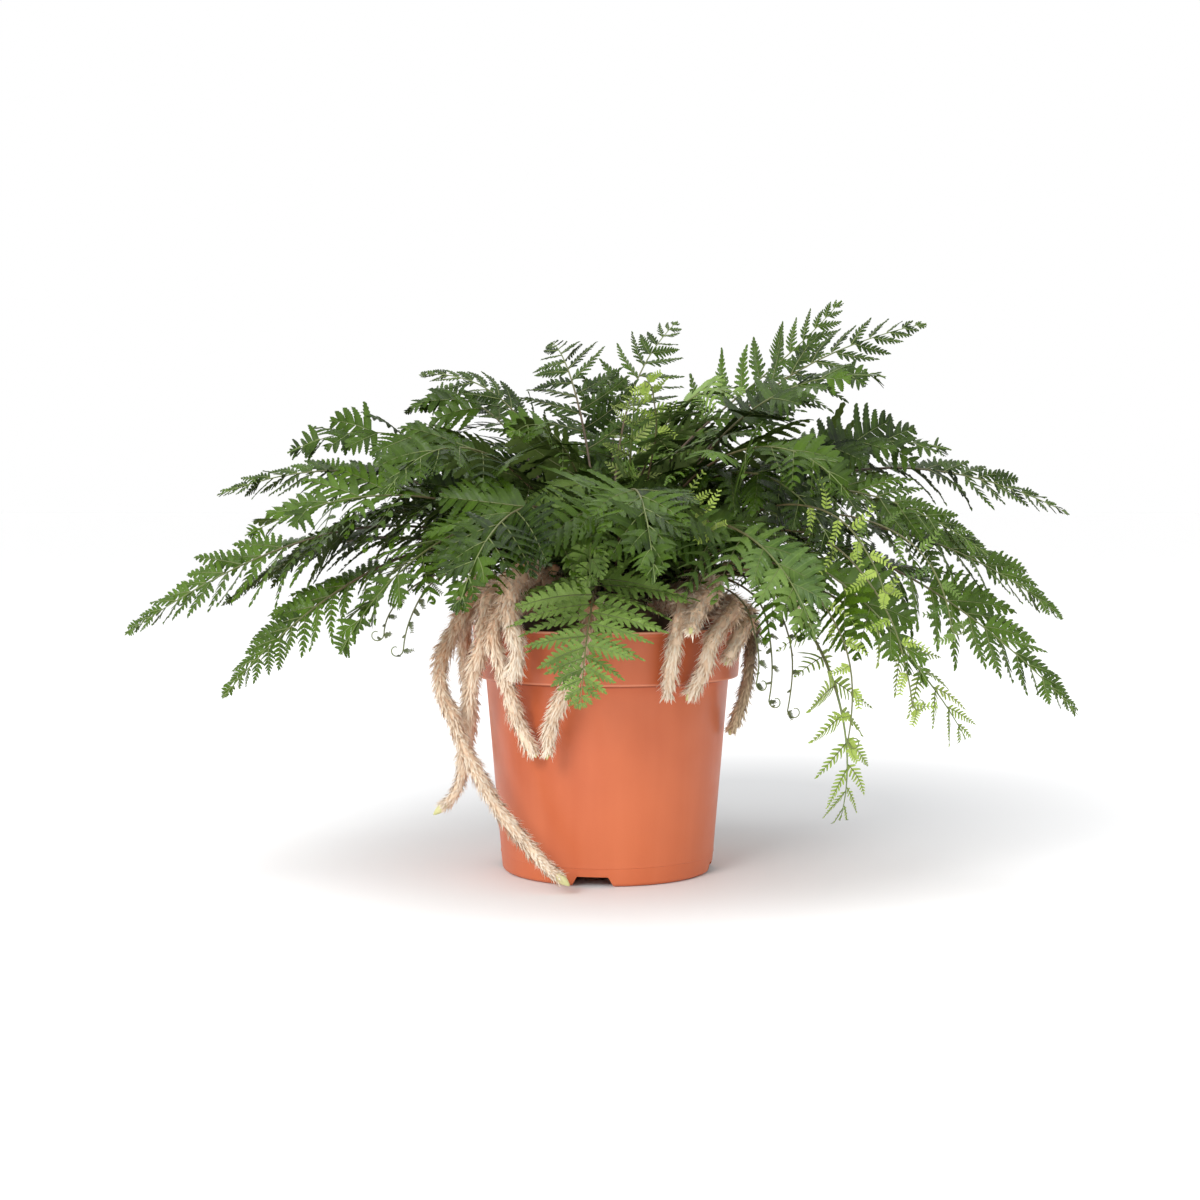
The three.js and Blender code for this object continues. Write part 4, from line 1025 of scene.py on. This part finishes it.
def pinna_lobes(start, side, reach, angle, spread, boost, droop, random, tint, cut, upright):
    """The lobes of one pinna, and its axis as (s, v, height). Boost lengthens the first on its root side."""
    t = np.linspace(0, 1, 9)
    turn = angle - random.uniform(0.05, 0.5) * t
    middle = (turn[1:] + turn[:-1]) / 2
    s = start + np.concatenate([[0], np.cumsum(np.cos(middle) * reach / 8)])
    v = RIB_HALF * 0.4 + np.concatenate([[0], np.cumsum(np.sin(middle) * reach / 8)])
    lift = PINNA_LIFT * random.uniform(*LIFT_RANGE[cut]) + droop
    height = lift * v * (0.5 + 0.7 * v / v[-1])
    lean, lean_spread = PINNA_TILT[cut]
    tilt = random.normal(0 if upright else lean, lean_spread)
    pitch = np.clip(spread * 0.5, 2.0, 3.2 if cut == "young" else 6.0)
    count = int(np.clip(round(reach / pitch), 3, 12))
    lobes = []
    bounds = 1 - (1 - np.arange(count + 1) / (count + 0.25)) ** 1.22
    for low, high in zip(bounds, bounds[1:]):
        for edge in (1, -1):
            share = (low + high) / 2 + (0.12 if edge < 0 else 0) * (high - low)
            length = spread * (0.5 + 0.5 * min(1, share / 0.14)) * (1 - share) ** 0.62
            length *= random.uniform(0.92, 1.08)
            width = (high - low) * reach * (0.68 if cut == "young" else 1.02)
            if edge < 0:
                stretch = 1 + boost * math.exp(-(((share - 0.14) / 0.13) ** 2))
                length *= stretch
                width *= 1 + 0.45 * (stretch - 1)
            heading = np.interp(share, t, turn)
            lobes.append((
                lobe_kind(length, cut), np.interp(share, t, s), np.interp(share, t, v), heading,
                heading - edge * (56 - 14 * share) * DEG, edge, side, width, length,
                np.interp(share, t, height), tilt, tint + 0.15 * share))
    end_s, end_v = s[-1] - 0.03 * reach * math.cos(turn[-1]), v[-1] - 0.03 * reach * math.sin(turn[-1])
    lobes.append((
        "small", end_s, end_v, turn[-1] + math.pi / 2, turn[-1], -1, side, spread * 0.22, reach * 0.09,
        height[-1], 0.0, tint + 0.2))
    return lobes, (s, side * v, height)


def pinna_rows(frond, blade, pairs, young):
    """Each pair of pinnae as start, gap, reach, angle, boost and droop, on the blade and then the stipe."""
    rows = []
    for j in range(pairs):
        start, following = (1 - (1 - i / (pairs + 0.35)) ** PINNA_CROWDING for i in (j, j + 1))
        reach = 1.02 * frond["pinna"] * (1 - start) ** PINNA_TAPER
        if young:
            reach = 1.4 * frond["pinna"] * (1 - start) ** YOUNG_TAPER
        angle = (PINNA_ANGLE - PINNA_ANGLE_FALL * start) * DEG
        boost = FIRST_BOOSTS[j] if j < len(FIRST_BOOSTS) else 0.0
        rows.append((start * blade.length, (following - start) * blade.length, reach, angle, boost, 0.0))
    gap = rows[0][1] * 1.08
    lowest = int(blade.stipe * (LOW_SHARE if frond["reach"] > OUTER_REACH else INNER_LOW_SHARE) / gap)
    for j in range(1, lowest + 1):
        reach = frond["pinna"] * (0.9 - 0.5 * j / (lowest + 1))
        rows.append((-gap * j, gap, reach, (PINNA_ANGLE + 5 * j) * DEG, LOW_BOOST, -0.08 * j))
    return rows


def kind_of(frond, number):
    if frond["look"] == "young":
        return "young"
    if frond["reach"] > OUTER_REACH or number in DENSE_FRONDS:
        return "outer"
    return "high" if frond["tipZ"] > HIGH_TIP_Z else "inner"


def make_frond(number, row, materials, stem):
    """One frond: its rib and stipe, the axes of its pinnae, and their lobes."""
    node = f"frond_{number:02d}"
    frond = placed(row, node)
    blade = Blade(frond)
    random = np.random.default_rng(1000 + number)
    young = frond["look"] == "young"
    pairs, cut, fullness = FROND_KINDS[kind_of(frond, number)]
    sheets = Sheets()
    base_tint = FROND_TINTS.get(number, random.uniform(0.1, 0.75))

    along = np.linspace(-blade.stipe, blade.length, 44)
    radius = np.interp(along, [-blade.stipe, 0, blade.length], [1.0, 0.85, 0.22])
    greening = np.interp(along, [-blade.stipe, 0, blade.length * 0.5, blade.length], [0.0, 0.35, 0.75, 1.0])
    tube(sheets, blade.at(along)[0], radius, 6, greening + (0.4 if young else 0), STEM)

    lobes = []
    opening = DENSE_OPENING * DEG if number in DENSE_FRONDS else 0
    for at, gap, reach, angle, boost, droop in pinna_rows(frond, blade, pairs, young):
        for side in (1, -1):
            turned = angle * random.uniform(0.86, 1.1) + opening
            tint = base_tint + random.normal(0, 0.16)
            spread = max(1.4, gap * math.sin(turned) * fullness)
            own, axis = pinna_lobes(
                at + 0.2 * gap * (side > 0), side, reach * random.uniform(0.86, 1.06), turned, spread,
                boost, droop, random, tint, cut, frond["fall"] > 0)
            lobes += own
            line = blade.place(*axis)
            green = 0.7 + 0.3 * max(0, at) / blade.length
            tube(sheets, line, np.linspace(0.45, 0.14, len(line)), 3, green, STEM)
    tip = blade.length * 0.06
    lobes.append((
        "middle", blade.length * 0.96, 0.0, math.pi / 2, 0.0, -1, 1, tip * 0.3, tip * 0.7, 0.0, 0.0,
        base_tint + 0.2))
    add_lobes(sheets, blade, lobes, random)
    piece = sheets.object(f"fern_leaf_{number:02d}", [*materials[frond["look"]], stem])
    ride_and_replace(piece, frond["look"], node)


# Leaf materials of each look, upper side and under side: name, dark and light colour, roughness and specular
LEAF_LOOKS = {
    "mature": (("leaf_upper", (8, 26, 0), (85, 117, 24), 0.3, 0.24),
               ("leaf_under", (30, 46, 12), (84, 101, 44), 0.7, 0.08)),
    "fresh": (("fresh_upper", (46, 78, 14), (138, 168, 78), 0.34, 0.36),
              ("fresh_under", (70, 96, 40), (132, 152, 86), 0.7, 0.15)),
    "young": (("young_upper", (128, 156, 52), (192, 210, 108), 0.45, 0.3),
              ("young_under", (138, 162, 78), (192, 208, 126), 0.6, 0.2)),
    "old": (("old_leaflet", (78, 86, 58), (136, 144, 110), 0.55, 0.2),
            ("old_leaflet_under", (90, 96, 72), (140, 146, 118), 0.7, 0.1)),
}


def make_leaves():
    materials = {
        look: [new_material(name, leaf_look, *values) for name, *values in sides]
        for look, sides in LEAF_LOOKS.items()}
    stem = new_material("stem", stem_look)
    for i, row in enumerate(FRONDS):
        make_frond(i + 1, {"look": "mature", **dict(zip(FROND_COLUMNS, row))}, materials, stem)
    make_sprigs(materials, stem)


LEAFLET_LENGTH = 3.9
# Size of an old sprig's branches and leaflets, as shares of those on the others
OLD_SHARES = (0.45, 0.6)
CURL_R = 4.6
# The points of a sprig's line that can bear leaves
LEAFY_POINTS = range(14, 33)
# Small sprigs with a curled end, half of them old ones under the canopy: look, then four (x, y, z) handles
SPRIGS = [
    ("old", (38, -24, 182), (84, -52, 200), (106, -66, 168), (97, -62, 112)),
    ("old", (36, -28, 182), (80, -66, 196), (94, -84, 156), (88, -78, 124)),
    ("old", (44, -10, 180), (92, -30, 206), (122, -46, 168), (110, -44, 104)),
    ("old", (-40, -22, 180), (-90, -36, 206), (-120, -44, 186), (-124, -50, 142)),
    ("old", (-38, -8, 182), (-96, -12, 204), (-136, -26, 180), (-138, -30, 150)),
    ("old", (-20, 42, 182), (-44, 84, 200), (-58, 104, 168), (-54, 106, 116)),
    ("young", (20, -30, 190), (38, -72, 232), (50, -106, 240), (58, -116, 218)),
    ("young", (14, -20, 190), (30, -46, 262), (34, -56, 300), (22, -60, 304)),
    ("young", (40, -20, 182), (110, -80, 250), (160, -130, 205), (172, -130, 118)),
    ("young", (36, -28, 182), (100, -96, 228), (150, -130, 170), (136, -128, 96)),
    ("fresh", (44, -12, 182), (120, -70, 255), (190, -116, 225), (196, -118, 160)),
    ("young", (42, -16, 184), (100, -80, 260), (140, -130, 230), (154, -136, 184)),
]


def add_leaflet(sheets, at, heading, across, length, width, tint):
    """One small round leaflet, as an upper and a lower sheet."""
    points, faces = LOBES["round"]
    leaf = at + heading * points[:, :1] * length + across * points[:, 1:2] * width
    under = leaf - np.cross(heading, across) * 0.2 * (1 - points[:, 2:])
    edge = points[:, [0, 2]]
    sheets.add(leaf, faces, tint, UPPER, edge)
    sheets.add(under, faces[:, ::-1], tint, UNDER, edge)


def add_branch(sheets, at, heading, across, reach, size, random, tint):
    """A short side branch that curls forward, with round leaflets on both sides."""
    upward = np.cross(heading, across)
    steps = np.linspace(0.12, 1, 7)
    curl = random.choice([-1, 1]) * random.uniform(0.25, 0.7)
    line = at + heading * (steps * reach)[:, None] + across * (steps**2 * reach * curl)[:, None]
    line += upward * (steps**2 * reach * random.normal(0, 0.15))[:, None]
    tube(sheets, np.concatenate([[at], line]), 0.2, 3, 1.0, STEM)
    for point, step in zip(line, steps):
        ahead = unit(heading + across * 2 * step * curl)
        for side in (1, -1):
            out = unit(np.cross(upward, ahead) * side + ahead * 0.6)
            length = (1.0 - 0.45 * step) * size * random.uniform(0.8, 1.2)
            add_leaflet(sheets, point, out, unit(np.cross(upward, out)), length, length * 0.42, tint)


def sprig_line(handles, turn):
    """A hanging stem that wavers a little and curls at its end."""
    p = np.array(handles, float)
    t = np.linspace(0, 1, 30)[:, None]
    line = bezier(p, t)
    line += np.sin(t * 14 + turn) * t * (1 - t) * [3, 2, 1]
    out = unit(p[3] * [1, 1, 0])
    angle = np.linspace(0, 1.6 * math.pi, 12)[1:, None]
    size = CURL_R - 0.55 * angle
    curl = line[-1] + out * (CURL_R - size * np.cos(angle)) - UP * size * np.sin(angle)
    return np.concatenate([line, curl])


def make_sprigs(materials, stem):
    """Fresh and young sprigs branch to both sides. Old ones branch to one, with single leaflets between."""
    for i, (look, *handles) in enumerate(SPRIGS):
        random = np.random.default_rng(300 + i)
        line = sprig_line(handles, i)
        branch_share, leaflet_share = OLD_SHARES if look == "old" else (1, 1)
        size = LEAFLET_LENGTH * leaflet_share
        sheets = Sheets()
        tube(sheets, line, np.linspace(0.75, 0.3, len(line)), 6, np.linspace(0.3, 1, len(line)), STEM)
        tangents, normals, binormals = frames_along(line)
        for k in LEAFY_POINTS:
            tint = random.uniform(0.0, 0.6)
            if k % 2 == 0:
                continue
            if look != "old" or k % 4 == 1:
                side = unit(np.cross(tangents[k], [0, 1, 0.2])) * (1 if k % 4 == 1 else -1)
                heading = unit(side + tangents[k] * random.uniform(0.3, 0.8) + random.normal(0, 0.2, 3))
                across = unit(np.cross(heading, [0, 1, 0.2] + random.normal(0, 0.3, 3)))
                reach = random.uniform(15, 24) * (1.2 - k / len(line)) * branch_share
                add_branch(sheets, line[k], heading, across, reach, size, random, tint)
            else:
                angle = random.uniform(0, 2 * math.pi)
                side = normals[k] * math.cos(angle) + binormals[k] * math.sin(angle)
                heading = unit(side + tangents[k] * random.uniform(0.2, 0.9))
                across = unit(np.cross(heading, random.normal(0, 1, 3)))
                length = random.uniform(2.4, 5.4)
                add_leaflet(sheets, line[k], heading, across, length, length * 0.6, tint)
        piece = sheets.object(f"small_sprig_{i + 1}", [*materials[look], stem])
        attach(piece, "root")


# Studio


def make_stage():
    """A floor that runs out of sight on every side."""
    mesh = bpy.data.meshes.new("studio_floor")
    corners = [(x * FLOOR_HALF, y * FLOOR_HALF, 0.0) for x, y in ((-1, -1), (1, -1), (1, 1), (-1, 1))]
    mesh.from_pydata(corners, [], [(0, 1, 2, 3)])
    mesh.materials.append(new_material("studio_floor", floor_look))
    floor = linked("studio_floor", mesh)
    floor.location.z = -FLOOR_DROP


def area_light(name, at, side, power):
    data = bpy.data.lights.new(name, "AREA")
    data.shape = "SQUARE"
    data.size = side
    data.energy = power
    light = linked(name, data)
    light.location = at
    light.rotation_euler = (Vector(LIGHTS_AIM) - Vector(at)).to_track_quat("-Z", "Y").to_euler()


def make_studio():
    """White surroundings, two soft lights and the photograph's camera."""
    scene = bpy.context.scene
    scene.world = bpy.data.worlds.new("studio")
    scene.world.use_nodes = True
    put(scene.world.node_tree.nodes["Background"], {"Color": grey(1.0), "Strength": 1.0})
    scene.view_settings.view_transform = "Standard"
    scene.view_settings.look = "None"
    for light in LIGHTS:
        area_light(*light)
    camera_data = bpy.data.cameras.new("camera")
    camera_data.lens = FOCAL_MM
    camera_data.sensor_width = SENSOR_MM
    camera = linked("camera", camera_data)
    camera.location = [x * MM for x in CAMERA_AT]
    camera.rotation_euler = ((90 + CAMERA_PITCH) * DEG, 0, 0)
    scene.camera = camera


make_studio()
make_stage()
make_pot()
make_mix()
make_mat()
make_rhizomes()
make_leaves()
